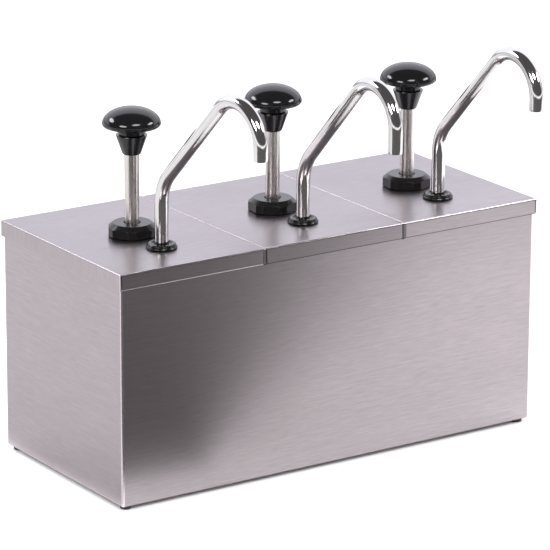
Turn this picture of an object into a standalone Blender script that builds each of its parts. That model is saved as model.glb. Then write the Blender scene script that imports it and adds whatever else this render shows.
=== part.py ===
"""Three-station condiment pump dispenser, as an assembly of separate solids.

A folded stainless housing holds three insert jars side by side. Each jar is covered by its own
folded lid, and each lid carries one plunger pump: knob, rod, piston and return spring in a
cylinder, a valve body with two check balls, and a bent discharge tube that reaches out over the
front of the housing. Stations run along X, the front of the dispenser faces -Y, and Z is up
from the counter. The origin is the centre of the whole dispenser's outline on the counter.
"""

import math

import bmesh
import bpy
from mathutils import Matrix, Vector

MM = 0.001

# ---- Shared fits ----
TOUCH = 0.3 * MM  # gap left between two pieces that rest on each other
SLIP = 0.3 * MM  # radial clearance of a piece in its seat
STATIONS = 3
PUMP_OFFSET = 1.5 * MM  # pump axis in front of the lid's centre

# ---- Housing, base plate and feet ----
HOUSING_LENGTH = 457.0 * MM
HOUSING_DEPTH = 207.0 * MM
HOUSING_HEIGHT = 217.5 * MM
HOUSING_SHEET = 1.2 * MM
HOUSING_CORNER = 2.5 * MM  # outside radius of the upright bends
TOP_LIP = 5.0 * MM  # inward fold along the top edge, past the wall
BOTTOM_FLANGE = 16.0 * MM  # inward fold that carries the base plate, past the wall
BASE_SHEET = 1.2 * MM
BASE_FIT = 0.5 * MM  # base plate to wall

FOOT_HEIGHT = 4.0 * MM
FOOT_RADIUS = 5.5 * MM
FOOT_INSET = 8.5 * MM  # foot axis from the housing's outside faces
FOOT_STEM_RADIUS = 2.2 * MM
FOOT_BARB_RADIUS = 3.0 * MM
FOOT_BARB_LENGTH = 2.0 * MM

# ---- Lids ----
LID_SHEET = 1.0 * MM
LID_FIT = 0.8 * MM  # lid flange to housing wall
LID_GAP = 0.6 * MM  # between neighbouring lids
LID_FLANGE = 15.0 * MM
LID_BEND = 1.2 * MM
LID_RELIEF = 0.8 * MM  # slot between a front or back flange and the side flange
NOTCH_DROP = 1.0 * MM  # bottom of a housing notch below the lids' side flanges

# ---- Insert jars ----
JAR_SPACING = 19.7 * MM  # between the rims of neighbouring jars
JAR_CLEARANCE = 3.3 * MM  # rim to the housing's top lip, front and back
JAR_HEADROOM = 3.8 * MM  # rim to the lower edge of the lids' flanges
JAR_WALL = 1.0 * MM
JAR_RIM_WIDTH = 3.0 * MM
JAR_RIM_HEIGHT = 3.0 * MM
JAR_CORNER = 22.0 * MM
JAR_TAPER = 3.0 * MM  # the wall leans in by this much from rim to floor
JAR_FLOOR_BEVEL = 5.0 * MM

# ---- Plunger: knob, collar and rod ----
STROKE = 64.0 * MM
ROD_RADIUS = 6.75 * MM
ROD_STUD_RADIUS = 4.0 * MM  # threaded ends of the rod
KNOB_RADIUS = 26.8 * MM
KNOB_DOME = 15.4 * MM  # dome above the widest ring
KNOB_RIM = 2.8 * MM  # rim below the widest ring
KNOB_RIM_TUCK = 2.0 * MM
KNOB_HOLLOW = 0.8 * MM  # the underside rises this far inside the rim
KNOB_NECK_RADIUS = 11.8 * MM
KNOB_NECK = 7.1 * MM  # neck between the collar and the rim
KNOB_BORE_DEPTH = 15.0 * MM
COLLAR_HEIGHT = 18.1 * MM
COLLAR_TOP_RADIUS = 14.4 * MM
COLLAR_FOOT_WALL = 1.95 * MM  # collar's foot past the rod
COLLAR_CHAMFER = 1.1 * MM

# ---- Pump cylinder, nut, piston and spring ----
CYLINDER_BORE = 11.0 * MM
CYLINDER_WALL = 1.6 * MM
CYLINDER_LENGTH = 142.8 * MM
NECK_WALL = 2.0 * MM
CYLINDER_FLANGE_WIDTH = 6.0 * MM  # past the neck
CYLINDER_FLANGE = 2.8 * MM
NUT_FLATS = 43.0 * MM
NUT_CORNERS = 46.0 * MM  # across the cut-off corners
NUT_HEIGHT = 11.7 * MM
NUT_WEB = 3.0 * MM
NUT_TOP_RADIUS = 18.0 * MM
NUT_CHAMFER = 3.9 * MM  # height of the turned chamfer at the corners
NUT_TURNS = (-1.7, 23.3, 21.8)  # degrees, as each nut happened to tighten
NUT_ROD_CLEARANCE = 0.9 * MM
NECK_CLEARANCE = 0.5 * MM  # cylinder neck in the lid and in the nut
NECK_END_GAP = 1.0 * MM  # cylinder neck to the nut's web
PISTON_HEIGHT = 14.0 * MM
PISTON_CLEARANCE = 0.5 * MM
SEAL_CLEARANCE = 0.25 * MM
SEAL_HEIGHT = 3.4 * MM
SEAL_GROOVE_DEPTH = 2.7 * MM  # below the cylinder's bore
PISTON_FOOT = 3.5 * MM  # land below the seal
SPRING_CLEARANCE = 0.9 * MM  # wire to the cylinder's bore
SPRING_WIRE_RADIUS = 0.8 * MM
SPRING_TURNS = 7

# ---- Valve body, check balls and suction tube ----
VALVE_BOSS_WALL = 3.9 * MM  # around the cylinder
VALVE_BODY_HEIGHT = 40.0 * MM
VALVE_SOCKET_DEPTH = 12.3 * MM
VALVE_WEB = 2.5 * MM
VALVE_SLOT_MARGIN = 0.3 * MM  # slot end inside the middle of the spring wire
VALVE_SLOT_WIDTH = 9.0 * MM  # the slot passes product and stops the inlet ball
INLET_BALL_RADIUS = 7.0 * MM
INLET_LIFT = 4.0 * MM
CHAMBER_CLEARANCE = 2.3 * MM  # around the inlet ball
ARM_WIDTH = 17.0 * MM
ARM_HEIGHT = 16.0 * MM
CROSS_BORE_RADIUS = 4.0 * MM
DISCHARGE_BOSS_WALL = 4.15 * MM  # around the tube
DISCHARGE_BALL_MARGIN = 0.35 * MM  # ball past the tube's bore
DISCHARGE_LIFT = 3.0 * MM
DISCHARGE_SEAT_MARGIN = 1.6 * MM  # ball past its seat's edge
BALL_REST_GAP = 0.15 * MM  # along Z, between a ball and its seat at rest
SUCTION_BORE_RADIUS = 5.0 * MM
SUCTION_THREAD_RADIUS = 10.0 * MM
SUCTION_FLANGE_RADIUS = 13.0 * MM
SUCTION_FLANGE = 3.5 * MM
SUCTION_TUBE_RADIUS = 7.5 * MM
SUCTION_FLOOR_GAP = 7.0 * MM  # open end of the suction tube above the jar's floor

# ---- Discharge tube, its union and its grommet ----
SPOUT_SPACING = 50.5 * MM  # tube axis in front of the rod axis
SPOUT_TUBE_RADIUS = 6.35 * MM
SPOUT_WALL = 0.9 * MM
SPOUT_REACH = 149.0 * MM  # from the upright leg to the nozzle
SPOUT_APEXES = (158.4 * MM, 154.7 * MM, 161.9 * MM)  # centre line above the lid, tube by tube
SPOUT_DROPS = (44.9 * MM, 55.0 * MM, 45.1 * MM)  # nozzle end below the apex, tube by tube
SPOUT_TURNS = (3.0, -1.3, -0.4)  # degrees about the upright leg, tube by tube
SPOUT_RISE_ANGLE = math.radians(45.3)  # straight run above the horizontal
SPOUT_FOOT_BEND = 44.0 * MM
SPOUT_HEAD_BEND = 35.2 * MM
SPOUT_INSERTION = 6.0 * MM  # tube end below the valve body's top
SPOUT_NOTCH = 3.0 * MM  # cross notch that keeps the tube open above the ball
BEAD_WIDTH = 3.05 * MM  # past the tube
BEAD_HEIGHT = 2.4 * MM
UNION_SEAL_HEIGHT = 1.5 * MM
UNION_WALL = 2.5 * MM  # discharge boss to the nut's flats
UNION_SKIRT = 8.0 * MM  # threaded part around the discharge boss
UNION_WEB = 2.8 * MM
GROMMET_WIDTH = 8.15 * MM  # upper lip past the tube
GROMMET_HEIGHT = 4.4 * MM
GROMMET_NECK_WIDTH = 2.85 * MM
GROMMET_UNDER_WIDTH = 5.15 * MM
GROMMET_UNDER = 2.5 * MM

# ---- Facet counts ----
ROUND = 20  # knob, nut chamfer and other large turned faces
TURNED = 12  # pump internals
GROMMET_ROUND = 16
SMALL_ROUND = 8  # feet and cross bores
TUBE_SIDES = 12
CORNER_STEPS = 4
JAR_CORNER_STEPS = 4

# ---- Heights above the counter ----
HOUSING_TOP = FOOT_HEIGHT + HOUSING_HEIGHT
BASE_UNDER = FOOT_HEIGHT + HOUSING_SHEET + TOUCH
BASE_TOP = BASE_UNDER + BASE_SHEET
JAR_UNDER = BASE_TOP + TOUCH
JAR_FLOOR = JAR_UNDER + JAR_WALL
LID_UNDER = HOUSING_TOP + TOUCH
LID_TOP = LID_UNDER + LID_SHEET
JAR_TOP = LID_TOP - LID_FLANGE - JAR_HEADROOM
NUT_UNDER = LID_TOP + TOUCH
NUT_TOP = NUT_UNDER + NUT_HEIGHT
NUT_WEB_UNDER = NUT_TOP - NUT_WEB
NECK_TOP = NUT_WEB_UNDER - NECK_END_GAP
CYLINDER_UNDER = NECK_TOP - CYLINDER_LENGTH
PISTON_TOP = NUT_WEB_UNDER - TOUCH
PISTON_UNDER = PISTON_TOP - PISTON_HEIGHT
COLLAR_UNDER = NUT_TOP + STROKE + TOUCH
COLLAR_TOP = COLLAR_UNDER + COLLAR_HEIGHT
KNOB_UNDER = COLLAR_TOP + TOUCH
KNOB_WIDEST = KNOB_UNDER + KNOB_NECK + KNOB_RIM
WEB_TOP = CYLINDER_UNDER - TOUCH
WEB_UNDER = WEB_TOP - VALVE_WEB
VALVE_TOP = WEB_TOP + VALVE_SOCKET_DEPTH
VALVE_UNDER = VALVE_TOP - VALVE_BODY_HEIGHT
SPOUT_END = VALVE_TOP - SPOUT_INSERTION
BEAD_UNDER = VALVE_TOP + UNION_SEAL_HEIGHT + 2 * TOUCH
BEAD_TOP = BEAD_UNDER + BEAD_HEIGHT

# ---- Plan sizes ----
LID_MARGIN = LID_FIT + LID_SHEET
LID_DEPTH = HOUSING_DEPTH + 2 * LID_MARGIN
LIDS_LENGTH = HOUSING_LENGTH + 2 * LID_MARGIN
LID_LENGTH = (LIDS_LENGTH - (STATIONS - 1) * LID_GAP) / STATIONS
PITCH = LID_LENGTH + LID_GAP
JAR_WIDTH = PITCH - JAR_SPACING  # across the rim, along X
JAR_DEPTH = HOUSING_DEPTH - 2 * (HOUSING_SHEET + TOP_LIP + JAR_CLEARANCE)
NECK_RADIUS = CYLINDER_BORE + NECK_WALL
CYLINDER_RADIUS = CYLINDER_BORE + CYLINDER_WALL
CYLINDER_FLANGE_RADIUS = NECK_RADIUS + CYLINDER_FLANGE_WIDTH
SEAL_GROOVE_RADIUS = CYLINDER_BORE - SEAL_GROOVE_DEPTH
SPRING_RADIUS = CYLINDER_BORE - SPRING_CLEARANCE - SPRING_WIRE_RADIUS  # to the middle of the wire
VALVE_SLOT_LENGTH = 2 * (SPRING_RADIUS - VALVE_SLOT_MARGIN)
COLLAR_FOOT_RADIUS = ROD_RADIUS + COLLAR_FOOT_WALL
VALVE_BOSS_RADIUS = CYLINDER_RADIUS + VALVE_BOSS_WALL
CHAMBER_RADIUS = INLET_BALL_RADIUS + CHAMBER_CLEARANCE
SPOUT_BORE_RADIUS = SPOUT_TUBE_RADIUS - SPOUT_WALL
DISCHARGE_BALL_RADIUS = SPOUT_BORE_RADIUS + DISCHARGE_BALL_MARGIN
DISCHARGE_SEAT_RADIUS = DISCHARGE_BALL_RADIUS - DISCHARGE_SEAT_MARGIN
DISCHARGE_BOSS_RADIUS = SPOUT_TUBE_RADIUS + DISCHARGE_BOSS_WALL
BEAD_RADIUS = SPOUT_TUBE_RADIUS + BEAD_WIDTH
UNION_FLATS = 2 * (DISCHARGE_BOSS_RADIUS + UNION_WALL)
GROMMET_RADIUS = SPOUT_TUBE_RADIUS + GROMMET_WIDTH
GROMMET_NECK_RADIUS = SPOUT_TUBE_RADIUS + GROMMET_NECK_WIDTH
GROMMET_UNDER_RADIUS = SPOUT_TUBE_RADIUS + GROMMET_UNDER_WIDTH
FOOT_HOLE_RADIUS = FOOT_STEM_RADIUS + SLIP
NOTCH_WIDTH = LID_GAP + 2 * (LID_SHEET + LID_RELIEF)  # as wide as the space between two front flanges
# The outline on the counter runs from the foremost nozzle to the lids' back flanges.
SPOUT_FRONT = max(SPOUT_REACH * math.cos(math.radians(turn)) for turn in SPOUT_TURNS)
FRONT_EDGE = PUMP_OFFSET + SPOUT_SPACING + SPOUT_FRONT + SPOUT_TUBE_RADIUS
HOUSING_CENTRE_Y = (FRONT_EDGE - LID_DEPTH / 2) / 2

# Where each ball touches the round edge it sits on or lifts against.
INLET_SEAT_TOP = WEB_UNDER - INLET_LIFT - BALL_REST_GAP - math.sqrt(
    INLET_BALL_RADIUS**2 - SUCTION_BORE_RADIUS**2
) - math.sqrt(INLET_BALL_RADIUS**2 - (VALVE_SLOT_WIDTH / 2) ** 2) - TOUCH
INLET_BALL_Z = INLET_SEAT_TOP + BALL_REST_GAP + math.sqrt(
    INLET_BALL_RADIUS**2 - SUCTION_BORE_RADIUS**2
)
DISCHARGE_BALL_Z = SPOUT_END - TOUCH - DISCHARGE_LIFT - math.sqrt(
    DISCHARGE_BALL_RADIUS**2 - SPOUT_BORE_RADIUS**2
)
DISCHARGE_SEAT_TOP = DISCHARGE_BALL_Z - BALL_REST_GAP - math.sqrt(
    DISCHARGE_BALL_RADIUS**2 - DISCHARGE_SEAT_RADIUS**2
)
CROSS_BORE_Z = DISCHARGE_SEAT_TOP - CROSS_BORE_RADIUS - 2.5 * MM


# ---- Scene helpers ----
def clear_scene():
    for obj in list(bpy.data.objects):
        bpy.data.objects.remove(obj)


def make_material(name, colour, roughness, metallic):
    material = bpy.data.materials.new(name)
    material.use_nodes = True
    shader = material.node_tree.nodes["Principled BSDF"]
    shader.inputs["Base Color"].default_value = (*colour, 1.0)
    shader.inputs["Roughness"].default_value = roughness
    shader.inputs["Metallic"].default_value = metallic
    return material


def place(name, mesh, material, parent=None, at=(0, 0, 0)):
    """One named object that shows the mesh, in its parent's space."""
    obj = bpy.data.objects.new(name, mesh)
    bpy.context.scene.collection.objects.link(obj)
    obj.location = at
    obj.parent = parent
    if not mesh.materials:
        mesh.materials.append(material)
    return obj


def empty(name, at, parent=None):
    """A frame that other objects hang on."""
    obj = bpy.data.objects.new(name, None)
    bpy.context.scene.collection.objects.link(obj)
    obj.location = at
    obj.parent = parent
    return obj


def finish_mesh(bm, name):
    """Welds, turns the faces outwards, shades smooth and returns the mesh."""
    bmesh.ops.remove_doubles(bm, verts=bm.verts, dist=0.005 * MM)
    bmesh.ops.recalc_face_normals(bm, faces=bm.faces)
    if bm.calc_volume(signed=True) < 0:
        bmesh.ops.reverse_faces(bm, faces=bm.faces)
    mesh = bpy.data.meshes.new(name)
    bm.to_mesh(mesh)
    bm.free()
    mesh.shade_smooth()
    mesh.set_sharp_from_angle(angle=math.radians(35))
    return mesh


# ---- Shape builders ----
def turned(name, profile, steps, closed=True, turn=0.0, axis_at=(0, 0)):
    """A solid of revolution. A closed profile makes a ring; an open one starts and ends on the axis."""
    bm = bmesh.new()
    points = [bm.verts.new((r, 0, z)) for r, z in profile]
    pairs = list(zip(points, points[1:]))
    if closed:
        pairs.append((points[-1], points[0]))
    edges = [bm.edges.new(pair) for pair in pairs]
    bmesh.ops.spin(
        bm,
        geom=points + edges,
        axis=(0, 0, 1),
        cent=(0, 0, 0),
        steps=steps,
        angle=math.tau,
        use_merge=True,
    )
    bmesh.ops.rotate(bm, verts=bm.verts, cent=(0, 0, 0), matrix=Matrix.Rotation(turn, 3, "Z"))
    bmesh.ops.translate(bm, verts=bm.verts, vec=(*axis_at, 0))
    return finish_mesh(bm, name)


def cylinder(name, radius, low, high, steps, at=(0, 0), turn=0.0):
    """A plain upright cylinder between two heights."""
    profile = [(0, low), (radius, low), (radius, high), (0, high)]
    return turned(name, profile, steps, closed=False, turn=turn, axis_at=at)


def box(name, low, high):
    """A plain box between two corners."""
    bm = bmesh.new()
    bmesh.ops.create_cube(bm, size=1)
    middle = (Vector(low) + Vector(high)) / 2
    size = Vector(high) - Vector(low)
    bmesh.ops.scale(bm, verts=bm.verts, vec=size)
    bmesh.ops.translate(bm, verts=bm.verts, vec=middle)
    return finish_mesh(bm, name)


def rounded_loop(length, depth, radius, z, steps):
    """Points of a rectangle with round corners, anticlockwise, at one height."""
    points = []
    for corner, (sx, sy) in enumerate([(1, 1), (-1, 1), (-1, -1), (1, -1)]):
        for step in range(steps):
            angle = math.pi / 2 * (corner + step / (steps - 1))
            x = sx * (length / 2 - radius) + radius * math.cos(angle)
            y = sy * (depth / 2 - radius) + radius * math.sin(angle)
            points.append((x, y, z))
    return points


def skinned(name, loops, closed):
    """Joins loops of equal length with quads: a closed stack is a ring, an open one gets two caps."""
    bm = bmesh.new()
    rings = [[bm.verts.new(point) for point in loop] for loop in loops]
    pairs = list(zip(rings, rings[1:]))
    if closed:
        pairs.append((rings[-1], rings[0]))
    for lower, upper in pairs:
        for i in range(len(lower)):
            j = (i + 1) % len(lower)
            bm.faces.new((lower[i], lower[j], upper[j], upper[i]))
    if not closed:
        bm.faces.new(rings[0])
        bm.faces.new(rings[-1])
    return finish_mesh(bm, name)


def carved(name, mesh, steps):
    """The mesh after Boolean steps, each (operation, tool mesh), as a mesh of its own."""
    body = bpy.data.objects.new(name, mesh)
    bpy.context.scene.collection.objects.link(body)
    tools = []
    for operation, tool_mesh in steps:
        tool = bpy.data.objects.new(tool_mesh.name, tool_mesh)
        bpy.context.scene.collection.objects.link(tool)
        modifier = body.modifiers.new(operation.title(), "BOOLEAN")
        modifier.operation = operation
        modifier.solver = "EXACT"
        modifier.object = tool
        tools.append(tool)
    bpy.context.view_layer.update()
    evaluated = body.evaluated_get(bpy.context.evaluated_depsgraph_get())
    result = bpy.data.meshes.new_from_object(evaluated)
    for obj in [body, *tools]:
        bpy.data.objects.remove(obj)
    bm = bmesh.new()
    bm.from_mesh(result)
    bmesh.ops.dissolve_limit(bm, angle_limit=math.radians(0.5), verts=bm.verts, edges=bm.edges)
    result.materials.clear()
    return finish_mesh(bm, name)


# ---- Housing, base plate and feet ----
def foot_places():
    """Foot axes, measured from the housing's centre."""
    x = HOUSING_LENGTH / 2 - FOOT_INSET
    y = HOUSING_DEPTH / 2 - FOOT_INSET
    return {
        "foot_front_left": (-x, -y),
        "foot_front_right": (x, -y),
        "foot_back_left": (-x, y),
        "foot_back_right": (x, y),
    }


def foot_hole_tools(low, high):
    return [
        ("DIFFERENCE", cylinder("foot_hole", FOOT_HOLE_RADIUS, low, high, SMALL_ROUND, at=at))
        for at in foot_places().values()
    ]


def lid_notch_tools():
    """Slots in the front and back walls where the side flanges of two neighbouring lids hang."""
    low = LID_TOP - LID_FLANGE - NOTCH_DROP
    tools = []
    for joint in range(1, STATIONS):
        x = (joint - STATIONS / 2) * PITCH
        tool = box(
            "lid_notch",
            (x - NOTCH_WIDTH / 2, -HOUSING_DEPTH / 2 - 1 * MM, low),
            (x + NOTCH_WIDTH / 2, HOUSING_DEPTH / 2 + 1 * MM, HOUSING_TOP + 1 * MM),
        )
        tools.append(("DIFFERENCE", tool))
    return tools


def housing_mesh():
    """Four walls folded from one sheet, turned in to a lip at the top and a flange at the bottom."""
    sheet = HOUSING_SHEET
    section = [
        (0, FOOT_HEIGHT),
        (0, HOUSING_TOP),
        (sheet + TOP_LIP, HOUSING_TOP),
        (sheet + TOP_LIP, HOUSING_TOP - sheet),
        (sheet, HOUSING_TOP - sheet),
        (sheet, FOOT_HEIGHT + sheet),
        (sheet + BOTTOM_FLANGE, FOOT_HEIGHT + sheet),
        (sheet + BOTTOM_FLANGE, FOOT_HEIGHT),
    ]
    loops = []
    for inset, z in section:
        radius = max(HOUSING_CORNER - inset, 0.5 * MM)
        length = HOUSING_LENGTH - 2 * inset
        depth = HOUSING_DEPTH - 2 * inset
        loops.append(rounded_loop(length, depth, radius, z, CORNER_STEPS))
    shell = skinned("housing_blank", loops, closed=True)
    holes = foot_hole_tools(FOOT_HEIGHT - 1 * MM, FOOT_HEIGHT + sheet + 1 * MM)
    return carved("housing", shell, holes + lid_notch_tools())


def base_plate_mesh():
    """Flat floor that lies on the housing's bottom flange."""
    inset = HOUSING_SHEET + BASE_FIT
    loops = [
        rounded_loop(HOUSING_LENGTH - 2 * inset, HOUSING_DEPTH - 2 * inset, HOUSING_CORNER, z, CORNER_STEPS)
        for z in (BASE_UNDER, BASE_TOP)
    ]
    plate = skinned("base_blank", loops, closed=False)
    return carved("base_plate", plate, foot_hole_tools(BASE_UNDER - 1 * MM, BASE_TOP + 1 * MM))


def foot_mesh():
    """Rubber bumper with a barbed stem that is pushed up through the flange and the base plate."""
    head_top = FOOT_HEIGHT - TOUCH
    barb_under = BASE_TOP + TOUCH
    profile = [
        (0, 0),
        (FOOT_RADIUS, 0),
        (FOOT_RADIUS, head_top),
        (FOOT_STEM_RADIUS, head_top),
        (FOOT_STEM_RADIUS, barb_under),
        (FOOT_BARB_RADIUS, barb_under),
        (FOOT_STEM_RADIUS, barb_under + FOOT_BARB_LENGTH),
        (0, barb_under + FOOT_BARB_LENGTH),
    ]
    return turned("foot", profile, SMALL_ROUND, closed=False)


# ---- Lid and jar ----
def lid_mesh():
    """Shallow inverted tray with four turned-down flanges, relief slots at its corners and two pump holes."""
    flange_end = LID_TOP - LID_FLANGE
    half_x = LID_LENGTH / 2
    half_y = LID_DEPTH / 2
    bm = bmesh.new()
    bmesh.ops.create_cube(bm, size=1)
    bmesh.ops.scale(bm, verts=bm.verts, vec=(LID_LENGTH, LID_DEPTH, LID_FLANGE))
    bmesh.ops.translate(bm, verts=bm.verts, vec=(0, 0, LID_TOP - LID_FLANGE / 2))
    top_edges = [e for e in bm.edges if all(abs(v.co.z - LID_TOP) < TOUCH for v in e.verts)]
    bmesh.ops.bevel(bm, geom=top_edges, offset=LID_BEND, segments=2, profile=0.5, affect="EDGES")
    blank = finish_mesh(bm, "lid_blank")
    hollow = box(
        "lid_hollow",
        (-half_x + LID_SHEET, -half_y + LID_SHEET, flange_end - 1 * MM),
        (half_x - LID_SHEET, half_y - LID_SHEET, LID_UNDER),
    )
    steps = [("DIFFERENCE", hollow)]
    for side_x in (-1, 1):
        for side_y in (-1, 1):
            slot_x = sorted((side_x * (half_x - LID_SHEET), side_x * (half_x - LID_SHEET - LID_RELIEF)))
            slot_y = sorted((side_y * (half_y + 1 * MM), side_y * (half_y - LID_SHEET - 0.5 * MM)))
            slot = box(
                "relief",
                (slot_x[0], slot_y[0], flange_end - 1 * MM),
                (slot_x[1], slot_y[1], LID_TOP - LID_BEND - LID_SHEET),
            )
            steps.append(("DIFFERENCE", slot))
    through = (LID_UNDER - 1 * MM, LID_TOP + 1 * MM)
    neck_at = (0, -PUMP_OFFSET)
    tube_at = (0, -PUMP_OFFSET - SPOUT_SPACING)
    neck_hole = cylinder("neck_hole", NECK_RADIUS + NECK_CLEARANCE, *through, TURNED, at=neck_at)
    tube_hole = cylinder("tube_hole", GROMMET_NECK_RADIUS + SLIP, *through, GROMMET_ROUND, at=tube_at)
    steps += [("DIFFERENCE", neck_hole), ("DIFFERENCE", tube_hole)]
    return carved("lid", blank, steps)


def jar_mesh():
    """Deep tapered jar with round corners and a thick flat rim."""
    width = JAR_WIDTH - 2 * JAR_RIM_WIDTH
    depth = JAR_DEPTH - 2 * JAR_RIM_WIDTH
    corner = JAR_CORNER - JAR_RIM_WIDTH
    rim_under = JAR_TOP - JAR_RIM_HEIGHT
    bevel = JAR_FLOOR_BEVEL
    wall = JAR_WALL
    sections = [
        (JAR_TAPER + bevel, JAR_UNDER),
        (JAR_TAPER, JAR_UNDER + bevel),
        (0, rim_under),
        (-JAR_RIM_WIDTH, rim_under),
        (-JAR_RIM_WIDTH, JAR_TOP),
        (wall, JAR_TOP),
        (wall + JAR_TAPER, JAR_FLOOR + bevel),
        (wall + JAR_TAPER + bevel, JAR_FLOOR),
    ]
    loops = [
        rounded_loop(width - 2 * inset, depth - 2 * inset, corner - inset * 0.8, z, JAR_CORNER_STEPS)
        for inset, z in sections
    ]
    return skinned("jar", loops, closed=False)


# ---- Plunger ----
def knob_mesh():
    """Mushroom knob: a half-ellipse dome, a tucked rim, a neck and a blind bore for the rod's stud."""
    dome_steps = 6
    profile = []
    for step in range(dome_steps + 1):
        angle = math.pi / 2 * (1 - step / dome_steps)
        profile.append((KNOB_RADIUS * math.cos(angle), KNOB_WIDEST + KNOB_DOME * math.sin(angle)))
    profile[0] = (0, KNOB_WIDEST + KNOB_DOME)
    rim_under = KNOB_WIDEST - KNOB_RIM
    bore = ROD_STUD_RADIUS + SLIP
    profile += [
        (KNOB_RADIUS - KNOB_RIM_TUCK, rim_under),
        (KNOB_NECK_RADIUS, rim_under + KNOB_HOLLOW),
        (KNOB_NECK_RADIUS, KNOB_UNDER),
        (bore, KNOB_UNDER),
        (bore, KNOB_UNDER + KNOB_BORE_DEPTH),
        (0, KNOB_UNDER + KNOB_BORE_DEPTH),
    ]
    return turned("knob", profile, ROUND, closed=False)


def collar_mesh():
    """Tapered collar between the rod and the knob; its foot lands on the nut at the end of the stroke."""
    bore = ROD_RADIUS + SLIP
    profile = [
        (bore, COLLAR_UNDER),
        (COLLAR_FOOT_RADIUS - COLLAR_CHAMFER, COLLAR_UNDER),
        (COLLAR_FOOT_RADIUS, COLLAR_UNDER + COLLAR_CHAMFER),
        (COLLAR_TOP_RADIUS, COLLAR_TOP),
        (bore, COLLAR_TOP),
    ]
    return turned("knob_collar", profile, ROUND)


def rod_mesh():
    """Plunger rod with a stud at each end: the lower one carries the piston, the upper one the knob."""
    shoulder = PISTON_TOP + TOUCH
    profile = [
        (0, PISTON_UNDER + TOUCH),
        (ROD_STUD_RADIUS, PISTON_UNDER + TOUCH),
        (ROD_STUD_RADIUS, shoulder),
        (ROD_RADIUS, shoulder),
        (ROD_RADIUS, COLLAR_TOP),
        (ROD_STUD_RADIUS, COLLAR_TOP),
        (ROD_STUD_RADIUS, KNOB_UNDER + KNOB_BORE_DEPTH - TOUCH),
        (0, KNOB_UNDER + KNOB_BORE_DEPTH - TOUCH),
    ]
    return turned("plunger_rod", profile, TURNED, closed=False)


def piston_mesh():
    """Piston on the rod's lower stud, under the rod's shoulder, with a groove for the seal."""
    radius = CYLINDER_BORE - PISTON_CLEARANCE
    groove_under = PISTON_UNDER + PISTON_FOOT
    groove_top = groove_under + SEAL_HEIGHT + 2 * TOUCH
    profile = [
        (ROD_STUD_RADIUS + SLIP, PISTON_UNDER),
        (radius, PISTON_UNDER),
        (radius, groove_under),
        (SEAL_GROOVE_RADIUS, groove_under),
        (SEAL_GROOVE_RADIUS, groove_top),
        (radius, groove_top),
        (radius, PISTON_TOP),
        (ROD_STUD_RADIUS + SLIP, PISTON_TOP),
    ]
    return turned("piston", profile, TURNED)


def piston_seal_mesh():
    """Seal ring in the piston's groove, a light sliding fit in the cylinder."""
    low = PISTON_UNDER + PISTON_FOOT + TOUCH
    inner = SEAL_GROOVE_RADIUS + SLIP
    outer = CYLINDER_BORE - SEAL_CLEARANCE
    profile = [(inner, low), (outer, low), (outer, low + SEAL_HEIGHT), (inner, low + SEAL_HEIGHT)]
    return turned("piston_seal", profile, TURNED)


def spring_mesh():
    """Return spring, from the valve body's web up to the piston, at its resting length."""
    low = WEB_TOP + TOUCH + SPRING_WIRE_RADIUS
    high = PISTON_UNDER - TOUCH - SPRING_WIRE_RADIUS
    turn_steps = 8
    wire_sides = 4
    count = SPRING_TURNS * turn_steps
    slope = math.atan2(high - low, SPRING_TURNS * math.tau * SPRING_RADIUS)
    loops = []
    for i in range(count + 1):
        angle = math.tau * i / turn_steps
        outward = Vector((math.cos(angle), math.sin(angle), 0))
        along = Vector((0, 0, math.tan(slope))) + Vector((-math.sin(angle), math.cos(angle), 0))
        upward = along.normalized().cross(outward)
        centre = outward * SPRING_RADIUS + Vector((0, 0, low + (high - low) * i / count))
        loop = []
        for side in range(wire_sides):
            around = math.tau * side / wire_sides
            offset = outward * math.cos(around) + upward * math.sin(around)
            loop.append(centre + offset * SPRING_WIRE_RADIUS)
        loops.append(loop)
    return skinned("return_spring", loops, closed=False)


# ---- Cylinder and nut ----
def cylinder_mesh():
    """Pump cylinder: a flange under the lid and a threaded neck that rises through it into the nut."""
    flange_top = LID_UNDER - TOUCH
    profile = [
        (CYLINDER_BORE, CYLINDER_UNDER),
        (CYLINDER_RADIUS, CYLINDER_UNDER),
        (CYLINDER_RADIUS, flange_top - CYLINDER_FLANGE),
        (CYLINDER_FLANGE_RADIUS, flange_top - CYLINDER_FLANGE),
        (CYLINDER_FLANGE_RADIUS, flange_top),
        (NECK_RADIUS, flange_top),
        (NECK_RADIUS, NECK_TOP),
        (CYLINDER_BORE, NECK_TOP),
    ]
    return turned("pump_cylinder", profile, TURNED)


def nut_outline(z):
    """Hexagon with cut-off corners, anticlockwise, at one height."""
    points = []
    half_face = math.sqrt((NUT_CORNERS / 2) ** 2 - (NUT_FLATS / 2) ** 2)
    for side in range(6):
        angle = math.pi / 6 + math.pi / 3 * side
        outward = Vector((math.cos(angle), math.sin(angle), 0)) * NUT_FLATS / 2
        along = Vector((-math.sin(angle), math.cos(angle), 0)) * half_face
        points += [outward - along + Vector((0, 0, z)), outward + along + Vector((0, 0, z))]
    return points


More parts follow.
